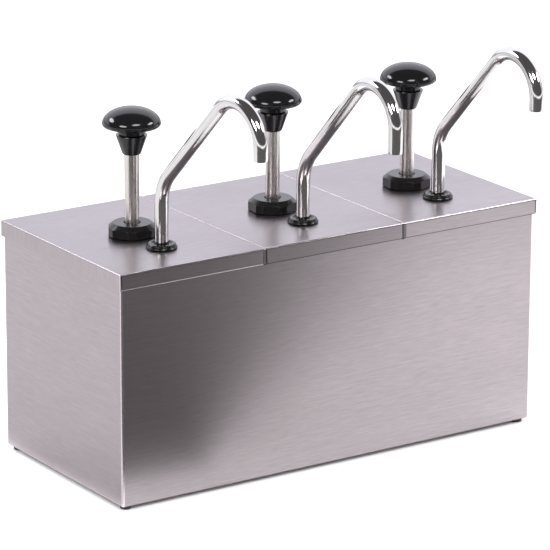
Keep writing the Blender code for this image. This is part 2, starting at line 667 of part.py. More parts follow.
def nut_mesh():
    """Six-sided hand nut with cut-off corners and a turned chamfer, screwed on the cylinder's neck."""
    prism = skinned("nut_blank", [nut_outline(NUT_UNDER), nut_outline(NUT_TOP)], closed=False)
    corner_radius = NUT_CORNERS / 2
    cone = [
        (0, NUT_UNDER - 1 * MM),
        (corner_radius + 1 * MM, NUT_UNDER - 1 * MM),
        (corner_radius + 1 * MM, NUT_TOP - NUT_CHAMFER),
        (corner_radius, NUT_TOP - NUT_CHAMFER),
        (NUT_TOP_RADIUS, NUT_TOP),
        (0, NUT_TOP),
    ]
    thread_radius = NECK_RADIUS + NECK_CLEARANCE
    bore = [
        (0, NUT_UNDER - 1 * MM),
        (thread_radius, NUT_UNDER - 1 * MM),
        (thread_radius, NUT_WEB_UNDER),
        (ROD_RADIUS + NUT_ROD_CLEARANCE, NUT_WEB_UNDER),
        (ROD_RADIUS + NUT_ROD_CLEARANCE, NUT_TOP + 1 * MM),
        (0, NUT_TOP + 1 * MM),
    ]
    steps = [
        ("INTERSECT", turned("nut_cone", cone, 24, closed=False)),
        ("DIFFERENCE", turned("nut_bore", bore, TURNED, closed=False)),
    ]
    return carved("lock_nut", prism, steps)


# ---- Valve body, suction tube and balls ----
def valve_body_mesh():
    """Cylinder socket over the inlet chamber, joined by an arm to a discharge boss with a ball seat."""
    front = (0, -SPOUT_SPACING)
    half_arm = ARM_WIDTH / 2
    arm_under = CROSS_BORE_Z - ARM_HEIGHT / 2
    through = 1 * MM
    boss = cylinder("boss", VALVE_BOSS_RADIUS, VALVE_UNDER, VALVE_TOP, TURNED)
    arm = box("arm", (-half_arm, -SPOUT_SPACING, arm_under), (half_arm, 0, arm_under + ARM_HEIGHT))
    discharge = cylinder("discharge_boss", DISCHARGE_BOSS_RADIUS, arm_under, VALVE_TOP, TURNED, at=front)
    socket = cylinder("socket", CYLINDER_RADIUS + SLIP, WEB_TOP, VALVE_TOP + through, TURNED)
    chamber = cylinder("chamber", CHAMBER_RADIUS, INLET_SEAT_TOP - through, WEB_UNDER, TURNED)
    slot = box(
        "web_slot",
        (-VALVE_SLOT_LENGTH / 2, -VALVE_SLOT_WIDTH / 2, WEB_UNDER - through),
        (VALVE_SLOT_LENGTH / 2, VALVE_SLOT_WIDTH / 2, WEB_TOP + through),
    )
    inlet_radius = SUCTION_THREAD_RADIUS + SLIP
    inlet = cylinder("inlet", inlet_radius, VALVE_UNDER - through, INLET_SEAT_TOP + TOUCH, TURNED)
    cross = bmesh.new()
    bmesh.ops.create_cone(
        cross,
        cap_ends=True,
        segments=SMALL_ROUND,
        radius1=CROSS_BORE_RADIUS,
        radius2=CROSS_BORE_RADIUS,
        depth=SPOUT_SPACING,
    )
    bmesh.ops.rotate(cross, verts=cross.verts, cent=(0, 0, 0), matrix=Matrix.Rotation(math.pi / 2, 3, "X"))
    bmesh.ops.translate(cross, verts=cross.verts, vec=(0, -SPOUT_SPACING / 2, CROSS_BORE_Z))
    seat_top = DISCHARGE_SEAT_TOP + through
    seat = cylinder("seat", DISCHARGE_SEAT_RADIUS, CROSS_BORE_Z, seat_top, SMALL_ROUND, at=front)
    ball_bore = cylinder(
        "ball_bore", SPOUT_TUBE_RADIUS + SLIP, DISCHARGE_SEAT_TOP, VALVE_TOP + through, TURNED, at=front
    )
    steps = [("UNION", arm), ("UNION", discharge)]
    steps += [("DIFFERENCE", tool) for tool in (socket, chamber, slot, inlet)]
    steps += [("DIFFERENCE", tool) for tool in (finish_mesh(cross, "cross_bore"), seat, ball_bore)]
    return carved("valve_body", boss, steps)


def suction_tube_mesh():
    """Screwed inlet: its top edge is the inlet ball's seat and its lower end stands off the jar's floor."""
    profile = [
        (SUCTION_BORE_RADIUS, JAR_FLOOR + SUCTION_FLOOR_GAP),
        (SUCTION_TUBE_RADIUS, JAR_FLOOR + SUCTION_FLOOR_GAP),
        (SUCTION_TUBE_RADIUS, VALVE_UNDER - TOUCH - SUCTION_FLANGE),
        (SUCTION_FLANGE_RADIUS, VALVE_UNDER - TOUCH - SUCTION_FLANGE),
        (SUCTION_FLANGE_RADIUS, VALVE_UNDER - TOUCH),
        (SUCTION_THREAD_RADIUS, VALVE_UNDER - TOUCH),
        (SUCTION_THREAD_RADIUS, INLET_SEAT_TOP),
        (SUCTION_BORE_RADIUS, INLET_SEAT_TOP),
    ]
    return turned("suction_tube", profile, TURNED)


def ball_mesh(name, radius):
    bm = bmesh.new()
    bmesh.ops.create_icosphere(bm, subdivisions=2, radius=radius)
    return finish_mesh(bm, name)


# ---- Discharge tube, union and grommet ----
def spout_centre_line(apex, drop):
    """Stations (y, z, heading) along the tube; the heading is 0 upright and grows towards -Y."""
    rise = math.pi / 2 - SPOUT_RISE_ANGLE  # heading of the straight run
    apex_z = LID_TOP + apex
    head_y = -SPOUT_REACH + SPOUT_HEAD_BEND
    head_z = apex_z - SPOUT_HEAD_BEND
    run_end_y = head_y + SPOUT_HEAD_BEND * math.cos(rise)
    run_end_z = head_z + SPOUT_HEAD_BEND * math.sin(rise)
    corner_z = run_end_z + run_end_y / math.tan(rise)
    foot_bend_z = corner_z - SPOUT_FOOT_BEND * math.tan(rise / 2)
    stations = [(0.0, BEAD_TOP, 0.0)]
    foot_steps, head_steps = 4, 8
    for step in range(foot_steps + 1):
        heading = rise * step / foot_steps
        y = SPOUT_FOOT_BEND * (math.cos(heading) - 1)
        z = foot_bend_z + SPOUT_FOOT_BEND * math.sin(heading)
        stations.append((y, z, heading))
    for step in range(head_steps + 1):
        heading = rise + (math.pi - rise) * step / head_steps
        y = head_y + SPOUT_HEAD_BEND * math.cos(heading)
        z = head_z + SPOUT_HEAD_BEND * math.sin(heading)
        stations.append((y, z, heading))
    stations.append((-SPOUT_REACH, apex_z - drop, math.pi))
    return stations


def tube_ring(y, z, heading, radius):
    """One cross-section of the tube, square to its heading."""
    across = Vector((0, math.cos(heading), math.sin(heading)))
    points = []
    for side in range(TUBE_SIDES):
        angle = math.tau * side / TUBE_SIDES
        points.append(Vector((radius * math.cos(angle), y, z)) + across * radius * math.sin(angle))
    return points


def spout_mesh(apex, drop):
    """Bent discharge tube, with a clamping bead low down and a notch across its lower end."""
    line = spout_centre_line(apex, drop)
    outer = [
        (0.0, SPOUT_END, 0.0, SPOUT_TUBE_RADIUS),
        (0.0, BEAD_UNDER, 0.0, SPOUT_TUBE_RADIUS),
        (0.0, BEAD_UNDER, 0.0, BEAD_RADIUS),
        (0.0, BEAD_TOP, 0.0, BEAD_RADIUS),
    ]
    outer += [(*station, SPOUT_TUBE_RADIUS) for station in line]
    inner = [(*station, SPOUT_BORE_RADIUS) for station in reversed(line[1:])]
    inner.append((0.0, SPOUT_END, 0.0, SPOUT_BORE_RADIUS))
    tube = skinned("spout_blank", [tube_ring(*station) for station in outer + inner], closed=True)
    reach = SPOUT_TUBE_RADIUS + 1 * MM
    notch = box(
        "notch",
        (-reach, -SPOUT_NOTCH / 2, SPOUT_END - 1 * MM),
        (reach, SPOUT_NOTCH / 2, SPOUT_END + SPOUT_NOTCH),
    )
    return carved("spout", tube, [("DIFFERENCE", notch)])


def union_nut_mesh():
    """Hexagon union nut that pulls the tube's bead down on its seal."""
    corner_radius = UNION_FLATS / 2 / math.cos(math.pi / 6)
    web_under = BEAD_TOP + TOUCH
    low = VALVE_TOP - UNION_SKIRT
    prism = cylinder("union_blank", corner_radius, low, web_under + UNION_WEB, 6, at=(0, -SPOUT_SPACING))
    thread_radius = DISCHARGE_BOSS_RADIUS + SLIP
    bore = [
        (0, low - 1 * MM),
        (thread_radius, low - 1 * MM),
        (thread_radius, web_under),
        (SPOUT_TUBE_RADIUS + 2 * SLIP, web_under),
        (SPOUT_TUBE_RADIUS + 2 * SLIP, web_under + UNION_WEB + 1 * MM),
        (0, web_under + UNION_WEB + 1 * MM),
    ]
    tool = turned("union_bore", bore, TURNED, closed=False, axis_at=(0, -SPOUT_SPACING))
    return carved("union_nut", prism, [("DIFFERENCE", tool)])


def union_seal_mesh():
    low = VALVE_TOP + TOUCH
    inner = SPOUT_TUBE_RADIUS + SLIP
    profile = [
        (inner, low),
        (BEAD_RADIUS, low),
        (BEAD_RADIUS, low + UNION_SEAL_HEIGHT),
        (inner, low + UNION_SEAL_HEIGHT),
    ]
    return turned("union_seal", profile, TURNED, axis_at=(0, -SPOUT_SPACING))


def grommet_mesh():
    """Round grommet that steadies the tube in the lid: a lip on top, a neck in the hole and a lip below."""
    bore = SPOUT_TUBE_RADIUS + SLIP
    low = LID_TOP + TOUCH
    top = low + GROMMET_HEIGHT
    under = LID_UNDER - TOUCH
    shoulder = GROMMET_HEIGHT / 2
    profile = [
        (bore, under - GROMMET_UNDER),
        (GROMMET_UNDER_RADIUS, under - GROMMET_UNDER),
        (GROMMET_UNDER_RADIUS, under),
        (GROMMET_NECK_RADIUS, under),
        (GROMMET_NECK_RADIUS, low),
        (GROMMET_RADIUS, low),
        (GROMMET_RADIUS, low + shoulder),
        (GROMMET_RADIUS - shoulder, top),
        (bore, top),
    ]
    return turned("spout_grommet", profile, GROMMET_ROUND, axis_at=(0, -SPOUT_SPACING))


# ---- Assembly ----
def build():
    clear_scene()
    stainless = make_material("brushed_stainless", (0.58, 0.56, 0.56), 0.34, 1.0)
    polished = make_material("polished_tube", (0.80, 0.79, 0.78), 0.08, 1.0)
    rod_steel = make_material("satin_rod", (0.66, 0.63, 0.61), 0.22, 1.0)
    black = make_material("black_phenolic", (0.012, 0.012, 0.013), 0.12, 0.0)
    nut_black = make_material("black_nylon", (0.020, 0.020, 0.021), 0.38, 0.0)
    rubber = make_material("black_rubber", (0.030, 0.030, 0.030), 0.70, 0.0)
    white = make_material("white_acetal", (0.80, 0.80, 0.78), 0.45, 0.0)

    centre = empty("housing_centre", (0, HOUSING_CENTRE_Y, 0))
    place("housing", housing_mesh(), stainless, centre)
    place("base_plate", base_plate_mesh(), stainless, centre)
    foot = foot_mesh()
    for name, (x, y) in foot_places().items():
        place(name, foot, rubber, centre, (x, y, 0))

    jar, lid, lock_nut = jar_mesh(), lid_mesh(), nut_mesh()
    pump_pieces = {
        "pump_cylinder": (cylinder_mesh(), polished),
        "return_spring": (spring_mesh(), rod_steel),
        "valve_body": (valve_body_mesh(), white),
        "suction_tube": (suction_tube_mesh(), white),
        "union_nut": (union_nut_mesh(), polished),
        "union_seal": (union_seal_mesh(), rubber),
        "spout_grommet": (grommet_mesh(), nut_black),
        "knob": (knob_mesh(), black),
        "knob_collar": (collar_mesh(), black),
        "plunger_rod": (rod_mesh(), rod_steel),
        "piston": (piston_mesh(), white),
        "piston_seal": (piston_seal_mesh(), rubber),
    }
    inlet_ball = ball_mesh("inlet_ball", INLET_BALL_RADIUS)
    discharge_ball = ball_mesh("discharge_ball", DISCHARGE_BALL_RADIUS)

    for station in range(STATIONS):
        number = station + 1
        x = (station - (STATIONS - 1) / 2) * PITCH
        jar_axis = empty(f"jar_axis_{number}", (x, 0, 0), centre)
        pump_axis = empty(f"pump_axis_{number}", (0, -PUMP_OFFSET, 0), jar_axis)
        tube_axis = empty(f"tube_axis_{number}", (0, -SPOUT_SPACING, 0), pump_axis)
        place(f"jar_{number}", jar, stainless, jar_axis)
        place(f"lid_{number}", lid, stainless, jar_axis)
        for name, (mesh, material) in pump_pieces.items():
            place(f"{name}_{number}", mesh, material, pump_axis)
        nut = place(f"lock_nut_{number}", lock_nut, nut_black, pump_axis)
        nut.rotation_euler.z = math.radians(NUT_TURNS[station])
        place(f"inlet_ball_{number}", inlet_ball, rod_steel, pump_axis, (0, 0, INLET_BALL_Z))
        place(f"discharge_ball_{number}", discharge_ball, rod_steel, tube_axis, (0, 0, DISCHARGE_BALL_Z))
        tube = spout_mesh(SPOUT_APEXES[station], SPOUT_DROPS[station])
        spout = place(f"spout_{number}", tube, polished, tube_axis)
        spout.rotation_euler.z = math.radians(SPOUT_TURNS[station])


build()
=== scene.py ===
"""Looks of a three-station condiment pump dispenser, laid out as a Blender add-on.

The packed solids are loaded as a fixed frame at the top. Every finished piece below takes its
place and its main sizes from the boxes of the solids it stands for, and rides on their body.
"""

import math

import bpy
import numpy as np
from mathutils import Matrix, Vector


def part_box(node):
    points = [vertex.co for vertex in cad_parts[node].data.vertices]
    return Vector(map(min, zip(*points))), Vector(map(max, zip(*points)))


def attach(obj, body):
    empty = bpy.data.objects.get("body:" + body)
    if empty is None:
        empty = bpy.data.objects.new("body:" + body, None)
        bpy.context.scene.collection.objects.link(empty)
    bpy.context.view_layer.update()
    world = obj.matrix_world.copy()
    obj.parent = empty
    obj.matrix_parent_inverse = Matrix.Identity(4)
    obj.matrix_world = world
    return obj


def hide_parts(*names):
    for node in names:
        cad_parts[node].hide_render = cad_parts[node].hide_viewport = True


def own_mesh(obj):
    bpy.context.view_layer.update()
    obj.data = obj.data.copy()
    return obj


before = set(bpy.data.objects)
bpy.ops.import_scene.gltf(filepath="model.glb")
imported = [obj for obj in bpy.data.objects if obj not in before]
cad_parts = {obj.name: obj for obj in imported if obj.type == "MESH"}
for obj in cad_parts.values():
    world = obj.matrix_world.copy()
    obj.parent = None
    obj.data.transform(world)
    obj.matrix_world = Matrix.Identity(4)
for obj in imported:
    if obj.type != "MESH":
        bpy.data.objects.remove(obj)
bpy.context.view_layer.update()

bl_info = {
    "name": "Condiment pump dispenser",
    "version": (1, 0, 0),
    "blender": (4, 5, 0),
    "location": "3D View > Sidebar > Dispenser",
    "description": "Finished surfaces for a three-station condiment pump dispenser",
    "category": "Object",
}

MM = 0.001
STATIONS = (1, 2, 3)
WELD = 1e-7  # points of a grid nearer than this are one point
HAIR = 1e-6  # measures that differ by less are the same
CLEARANCE = 0.3 * MM  # left between neighbouring pieces
OPENING = 0.92  # half side of the square of cells left out at a hole, as a share of its radius


# ---- Reading the frame ----
def corners(node):
    """Lowest and highest corner of a solid, as arrays in metres."""
    low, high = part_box(node)
    return np.array(low), np.array(high)


def axis_of(node):
    """Middle of a solid in plan."""
    low, high = corners(node)
    return (low[:2] + high[:2]) / 2


# ---- Mesh helpers ----
def grid_cells(rows, columns, wrap_rows=False, wrap_columns=False):
    """Four corners of each cell of a rows x columns grid, as (row cells, column cells, 4)."""
    down = rows if wrap_rows else rows - 1
    across = columns if wrap_columns else columns - 1
    row, column = np.meshgrid(np.arange(down), np.arange(across), indexing="ij")
    below = (row + 1) % rows
    beside = (column + 1) % columns
    here, under = row * columns, below * columns
    return np.stack([here + column, here + beside, under + beside, under + column], axis=-1)


def signed_volume(points, cells):
    """Six times the volume inside closed cells: the sum of a . (b x c) over their triangles."""
    a, b, c, d = (points[cells[:, k]] for k in range(4))
    return float((a * np.cross(b, c)).sum() + (a * np.cross(c, d)).sum())


def mesh_of(name, points, cells, closed=True, flat_map=None, painted_light=None):
    """A mesh from grid points and cells.

    Points that share a place become one, and a cell that loses a corner by that becomes a
    triangle, so seams and poles are closed. A closed shell is turned the right way out. flat_map
    gives each grid point its place on the flat sheet, in metres, kept as the UV map "sheet". The
    last argument is the painted light of each point: 1 on bends and edges, where a highlight is
    painted into the colour, -1 in creases and along edges, where shade is painted, and 0 elsewhere.
    """
    cells = cells.reshape(-1, 4)
    if closed and signed_volume(points, cells) < 0:
        cells = cells[:, ::-1]
    rounded_points = np.round(points / WELD)
    places, first, index = np.unique(rounded_points, axis=0, return_index=True, return_inverse=True)
    welded = index.reshape(-1)[cells]
    lost = welded == np.roll(welded, -1, axis=1)  # corners that fell on the next one
    whole = lost.sum(axis=1) == 0
    short = lost.sum(axis=1) == 1
    stay = np.arange(4)[None, :] != lost[short].argmax(axis=1)[:, None]
    triangles = welded[short][stay].reshape(-1, 3)
    mesh = bpy.data.meshes.new(name)
    mesh.from_pydata((places * WELD).tolist(), [], welded[whole].tolist() + triangles.tolist())
    if flat_map is not None:
        spots = np.concatenate([flat_map[cells[whole]].reshape(-1, 2), flat_map[cells[short][stay]]])
        layer = mesh.uv_layers.new(name="sheet")
        layer.data.foreach_set("uv", spots.astype(np.float32).ravel())
    # painted light: kept on the mesh for the brushed steel's painted highlights and painted shade
    if painted_light is not None:
        painted_light_layer = mesh.attributes.new("painted_light", "FLOAT", "POINT")
        painted_light_layer.data.foreach_set("value", painted_light[first].astype(np.float32))
    mesh.shade_smooth()
    mesh.update()
    return mesh


def add_piece(mesh, slot, body, replaces, sharp=40.0, even_shading=True):
    """One finished piece at the origin, riding on its body and standing for the solids it replaces."""
    piece = bpy.data.objects.new(mesh.name, mesh)
    bpy.context.scene.collection.objects.link(piece)
    mesh.materials.append(finish(slot))
    mesh.set_sharp_from_angle(angle=math.radians(sharp))
    if even_shading:
        shading = piece.modifiers.new("Even shading", "WEIGHTED_NORMAL")
        shading.keep_sharp = True
        shading.weight = 90
    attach(piece, body)
    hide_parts(*replaces)
    return piece


def rounded(profile, radii, steps=5):
    """The corners of a profile replaced with arcs.

    At a corner p with unit directions u and v to its neighbours, the arc touches both sides at
    p + t u and p + t v, where t = r / tan(half the angle). Its centre is on the bisector at
    r / sin(half the angle), and its points turn evenly from one touching point to the other.
    The first and last points keep their places.
    """
    p = np.asarray(profile, float)
    r = np.broadcast_to(np.asarray(radii, float), (len(p) - 2,))[:, None]
    corner = p[1:-1]
    u = p[:-2] - corner
    v = p[2:] - corner
    u_length = np.linalg.norm(u, axis=1, keepdims=True)
    v_length = np.linalg.norm(v, axis=1, keepdims=True)
    u, v = u / u_length, v / v_length
    half = np.arccos(np.clip((u * v).sum(axis=1, keepdims=True), -0.9999, 0.9999)) / 2
    r = np.minimum(r, 0.45 * np.minimum(u_length, v_length) * np.tan(half))
    touch = r / np.tan(half)
    bisector = (u + v) / np.linalg.norm(u + v, axis=1, keepdims=True)
    centre = corner + bisector * r / np.sin(half)
    start = corner + u * touch - centre
    end = corner + v * touch - centre
    sweep = (math.pi - 2 * half)[:, :, None]
    share = np.linspace(0, 1, steps)[None, :, None]
    from_start = start[:, None, :] * np.sin((1 - share) * sweep)
    from_end = end[:, None, :] * np.sin(share * sweep)
    arcs = (from_start + from_end) / np.sin(sweep) + centre[:, None, :]
    return np.concatenate([p[:1], arcs.reshape(-1, 2), p[-1:]])


def turned(profile, sides, axis=(0.0, 0.0), ring=False):
    """Grid of a profile turned round an upright axis: (r cos a, r sin a, z) for every angle a."""
    profile = np.asarray(profile, float)
    angle = np.linspace(0, math.tau, sides, endpoint=False)
    r, z = profile[:, :1], profile[:, 1:]
    points = np.stack(
        [axis[0] + r * np.cos(angle), axis[1] + r * np.sin(angle), z + 0 * angle], axis=-1
    ).reshape(-1, 3)
    return points, grid_cells(len(profile), sides, wrap_rows=ring, wrap_columns=True)


def turned_mesh(name, profile, sides, axis, ring=False):
    """Mesh of a turned profile; a ring's profile closes on itself."""
    return mesh_of(name, *turned(profile, sides, axis, ring))


def closed_ring(profile, radii, steps=5):
    """A closed profile with its corners rounded, begun and ended halfway along its last side."""
    p = np.asarray(profile, float)
    around = np.concatenate([(p[:1] + p[-1:]) / 2, p, (p[:1] + p[-1:]) / 2])
    return rounded(around, radii, steps)[:-1]


# ---- Materials ----
def add_node(tree, kind, inputs=None, **settings):
    """A node with its settings; an input is a value or another node's output."""
    node = tree.nodes.new(kind)
    for key, value in settings.items():
        setattr(node, key, value)
    for key, value in (inputs or {}).items():
        if isinstance(value, bpy.types.NodeSocket):
            tree.links.new(value, node.inputs[key])
        else:
            node.inputs[key].default_value = value
    return node


def start_material(name, **values):
    """A new material and its shader; values are set on the shader's own sockets."""
    material = bpy.data.materials.new(name)
    material.use_nodes = True
    shader = material.node_tree.nodes["Principled BSDF"]
    for key, value in values.items():
        shader.inputs[key.replace("_", " ").title().replace("Ior", "IOR")].default_value = value
    return material, material.node_tree, shader


def stretched_noise(tree, source, scale, detail=3.0, roughness=0.55):
    """Noise over a space that is scaled unevenly, so that its features stretch along one way."""
    mapping = add_node(tree, "ShaderNodeMapping", {"Vector": source, "Scale": scale})
    noise = add_node(
        tree,
        "ShaderNodeTexNoise",
        {"Vector": mapping.outputs["Vector"], "Scale": 1.0, "Detail": detail, "Roughness": roughness},
    )
    return noise.outputs["Fac"]


def between(tree, value, low, high, source=(0.3, 0.7)):
    """A value carried from its usual range to another one."""
    node = add_node(
        tree,
        "ShaderNodeMapRange",
        {"Value": value, "From Min": source[0], "From Max": source[1], "To Min": low, "To Max": high},
    )
    return node.outputs["Result"]


def shade_mix(tree, factor, first, second):
    """A colour between two others."""
    node = add_node(tree, "ShaderNodeMix", data_type="RGBA")
    tree.links.new(factor, node.inputs["Factor"])
    node.inputs["A"].default_value = (*first, 1.0)
    node.inputs["B"].default_value = (*second, 1.0)
    return node.outputs["Result"]


def add_values(tree, first, second, share):
    """first + share x second."""
    node = add_node(tree, "ShaderNodeMath", {0: second, 1: share, 2: first}, operation="MULTIPLY_ADD")
    return node.outputs["Value"]


def brushed_steel(name, colour, roughness, anisotropy, grain_depth):
    """Stainless sheet brushed along its length.

    Three stretched noises on the sheet's own map, in metres: hair-fine grain, longer streaks and
    soft clouds. They shade the colour, vary the roughness and cut the grain into the bump. The
    mesh marks bends and edges that get a painted highlight, and are smoother, and creases and
    edges that get painted shade.
    """
    material, tree, shader = start_material(
        name, metallic=1.0, anisotropic=anisotropy, anisotropic_rotation=0.25
    )
    sheet = add_node(tree, "ShaderNodeUVMap", uv_map="sheet").outputs["UV"]
    grain = stretched_noise(tree, sheet, (60.0, 1300.0, 1.0), 3.0, 0.6)
    streaks = stretched_noise(tree, sheet, (16.0, 420.0, 1.0), 2.0, 0.5)
    clouds = stretched_noise(tree, sheet, (5.0, 9.0, 1.0), 2.0, 0.5)
    mixed = add_values(tree, grain, streaks, 0.4)
    mixed = add_values(tree, mixed, clouds, 0.30)
    grain_range = (0.65, 1.05)
    shade = between(tree, mixed, 0.0, 1.0, grain_range)
    # Painted light read from the mesh: its positive part paints a highlight, its negative part paints
    # shade.
    edges = add_node(tree, "ShaderNodeAttribute", attribute_name="painted_light").outputs["Fac"]
    painted_light = between(tree, edges, 0.0, 1.0, (0.2, 0.9))
    painted_shade_share = between(tree, edges, 0.0, 1.0, (-0.2, -0.9))
    dark = tuple(c * 0.90 for c in colour)
    light = tuple(min(1.0, c * 1.09) for c in colour)
    # Painted highlight: the colour up to 1.9 times as bright on the marked bends and edges.
    painted_highlight_mix = add_node(tree, "ShaderNodeMix", {"Factor": painted_light}, data_type="RGBA")
    tree.links.new(shade_mix(tree, shade, dark, light), painted_highlight_mix.inputs["A"])
    painted_highlight_mix.inputs["B"].default_value = (*(min(1.0, c * 1.9) for c in colour), 1.0)
    # Painted shade: the colour down to 0.3 in the marked creases and along edges.
    painted_shade_mix = add_node(tree, "ShaderNodeMix", {"Factor": painted_shade_share}, data_type="RGBA")
    tree.links.new(painted_highlight_mix.outputs["Result"], painted_shade_mix.inputs["A"])
    painted_shade_mix.inputs["B"].default_value = (*(c * 0.30 for c in colour), 1.0)
    tree.links.new(painted_shade_mix.outputs["Result"], shader.inputs["Base Color"])
    rough = between(tree, mixed, roughness * 1.08, roughness * 0.92, grain_range)
    tree.links.new(add_values(tree, rough, painted_light, -0.4 * roughness), shader.inputs["Roughness"])
    tangent = add_node(tree, "ShaderNodeTangent", direction_type="UV_MAP", uv_map="sheet")
    tree.links.new(tangent.outputs["Tangent"], shader.inputs["Tangent"])
    bump = add_node(tree, "ShaderNodeBump", {"Strength": grain_depth, "Distance": 0.00012, "Height": mixed})
    tree.links.new(bump.outputs["Normal"], shader.inputs["Normal"])
    return material


def metal(name, colour, roughness, spread, scale, bump_strength):
    """Bare metal whose roughness and colour wander with a stretched noise on Object coordinates."""
    material, tree, shader = start_material(name, metallic=1.0)
    place = add_node(tree, "ShaderNodeTexCoord").outputs["Object"]
    fine = stretched_noise(tree, place, scale, 3.0)
    broad = stretched_noise(tree, place, (40.0, 40.0, 25.0), 2.0)
    mixed = add_values(tree, fine, broad, 0.5)
    shade = between(tree, mixed, 0.0, 1.0, (0.5, 1.0))
    dark = tuple(c * 0.93 for c in colour)
    tree.links.new(shade_mix(tree, shade, dark, colour), shader.inputs["Base Color"])
    rough = between(tree, mixed, roughness * (1 - spread), roughness * (1 + spread), (0.5, 1.0))
    tree.links.new(rough, shader.inputs["Roughness"])
    bump = add_node(tree, "ShaderNodeBump", {"Strength": bump_strength, "Distance": 0.0001, "Height": fine})
    tree.links.new(bump.outputs["Normal"], shader.inputs["Normal"])
    return material


def moulded(name, colour, roughness, spread, grain, bump_strength, coat=0.0):
    """Moulded plastic or rubber: an even colour with faint clouds, uneven gloss and a fine skin."""
    material, tree, shader = start_material(
        name, coat_weight=coat, coat_roughness=0.05, specular_ior_level=0.5
    )
    place = add_node(tree, "ShaderNodeTexCoord").outputs["Object"]
    skin = stretched_noise(tree, place, (grain, grain, grain), 4.0)
    clouds = stretched_noise(tree, place, (60.0, 60.0, 60.0), 2.0)
    mixed = add_values(tree, skin, clouds, 0.8)
    shade = between(tree, mixed, 0.0, 1.0, (0.6, 1.2))
    dark = tuple(c * 0.8 for c in colour)
    light = tuple(min(1.0, c * 1.15) for c in colour)
    tree.links.new(shade_mix(tree, shade, dark, light), shader.inputs["Base Color"])
    rough = between(tree, mixed, roughness * (1 - spread), roughness * (1 + spread), (0.6, 1.2))
    tree.links.new(rough, shader.inputs["Roughness"])
    bump = add_node(tree, "ShaderNodeBump", {"Strength": bump_strength, "Distance": 0.0002, "Height": skin})
    tree.links.new(bump.outputs["Normal"], shader.inputs["Normal"])
    return material


def finish(slot):
    """The finish of a record's material slot, made once and shared."""
    found = bpy.data.materials.get("finish_" + slot)
    if found:
        return found
    look = bpy.context.scene.dispenser_finish
    name = "finish_" + slot
    sheet, polished, rod = tuple(look.sheet_colour), tuple(look.polished_colour), tuple(look.rod_colour)
    knob, nut, rubber = tuple(look.knob_colour), tuple(look.nut_colour), tuple(look.rubber_colour)
    if slot == "brushed_stainless":
        return brushed_steel(name, sheet, look.sheet_roughness, look.sheet_anisotropy, look.grain_depth)
    if slot == "plain_stainless":
        return metal(name, sheet, look.sheet_roughness, 0.2, (90.0, 1400.0, 1400.0), 0.05)
    if slot == "polished_stainless":
        return metal(name, polished, look.polished_roughness, 0.35, (90.0, 90.0, 40.0), 0.002)
    if slot == "satin_stainless":
        return metal(name, rod, look.rod_roughness, 0.25, (900.0, 900.0, 25.0), 0.03)
    if slot == "spring_steel":
        return metal(name, rod, 0.25, 0.3, (600.0, 600.0, 600.0), 0.02)
    if slot == "black_phenolic":
        return moulded(name, knob, look.knob_roughness, 0.3, 900.0, 0.01, coat=0.15)
    if slot == "black_nylon":
        return moulded(name, nut, look.nut_roughness, 0.25, 1500.0, 0.08)
    if slot in ("black_rubber", "rubber_foot"):
        return moulded(name, rubber, 0.55, 0.2, 1800.0, 0.12)
    if slot == "white_acetal":
        return moulded(name, tuple(look.acetal_colour), 0.38, 0.2, 1200.0, 0.05)
    raise RuntimeError(f"no finish for {slot}")


# ---- Sheet metal ----
def bend_line(half, bend, flange, flat, steps=6):
    """Places across a folded sheet, from one flange's end to the other: (position, drop, run).

    The sheet is flat between the bends. A bend is a quarter circle: from the flat, the position
    grows by r sin a while the drop grows by r (1 - cos a), and the flange falls straight below it.
    The run is the distance from the middle along the sheet.
    """
    angle = np.linspace(0, math.pi / 2, steps)[1:]
    inner = half - bend
    between_bends = flat[np.abs(flat) < inner - 1e-5]
    middle = np.concatenate([[-inner], between_bends, [inner]])
    side = inner + bend * np.sin(angle)
    side_drop = bend * (1 - np.cos(angle))
    side_run = inner + bend * angle
    under_bend = bend + np.array([0.4, 0.8]) * MM
    over_edge = flange - np.array([0.8, 0.5, 0.2, 0.0]) * MM
    legs = np.concatenate([under_bend, over_edge])
    side = np.concatenate([side, np.full(len(legs), half)])
    side_drop = np.concatenate([side_drop, legs])
    side_run = np.concatenate([side_run, side_run[-1] + legs - bend])
    position = np.concatenate([-side[::-1], middle, side])
    drop = np.concatenate([side_drop[::-1], 0 * middle, side_drop])
    run = np.concatenate([-side_run[::-1], middle, side_run])
    return position, drop, run


def open_round(x, y, centre, radius):
    """Moves grid points so that a square of cells round a hole ends on its circle.

    With m the larger of the two distances from the centre and e the true distance, a point at the
    square's own half side moves to the radius along its ray, and the move fades out by 1.7 times
    that half side. Returns the moved points and the half side of the square that is left open.
    """
    square, fade = radius * OPENING, 0.7
    dx, dy = x - centre[0], y - centre[1]
    m = np.maximum(np.abs(dx), np.abs(dy))
    e = np.maximum(np.hypot(dx, dy), 1e-9)
    weight = np.clip((m / square - 1) / fade, 0, 1)
    scale = weight + (1 - weight) * radius * np.maximum(m, 1e-9) / square / e
    near = m < (1 + fade) * square
    moved_x = np.where(near, centre[0] + dx * scale, x)
    moved_y = np.where(near, centre[1] + dy * scale, y)
    return moved_x, moved_y, square


def solid_sheet(piece, thickness):
    """Gives an open skin its sheet thickness, inwards from the faces' outer side."""
    wall = piece.modifiers.new("Sheet", "SOLIDIFY")
    wall.thickness = thickness
    wall.offset = -1.0
    wall.use_even_offset = True
    wall.use_quality_normals = True
    piece.modifiers.move(len(piece.modifiers) - 1, 0)
    edges = piece.modifiers.new("Cut edges", "BEVEL")
    edges.width = 0.22 * MM
    edges.segments = 2
    edges.limit_method = "ANGLE"
    edges.angle_limit = math.radians(60)
    piece.modifiers.move(len(piece.modifiers) - 1, 1)


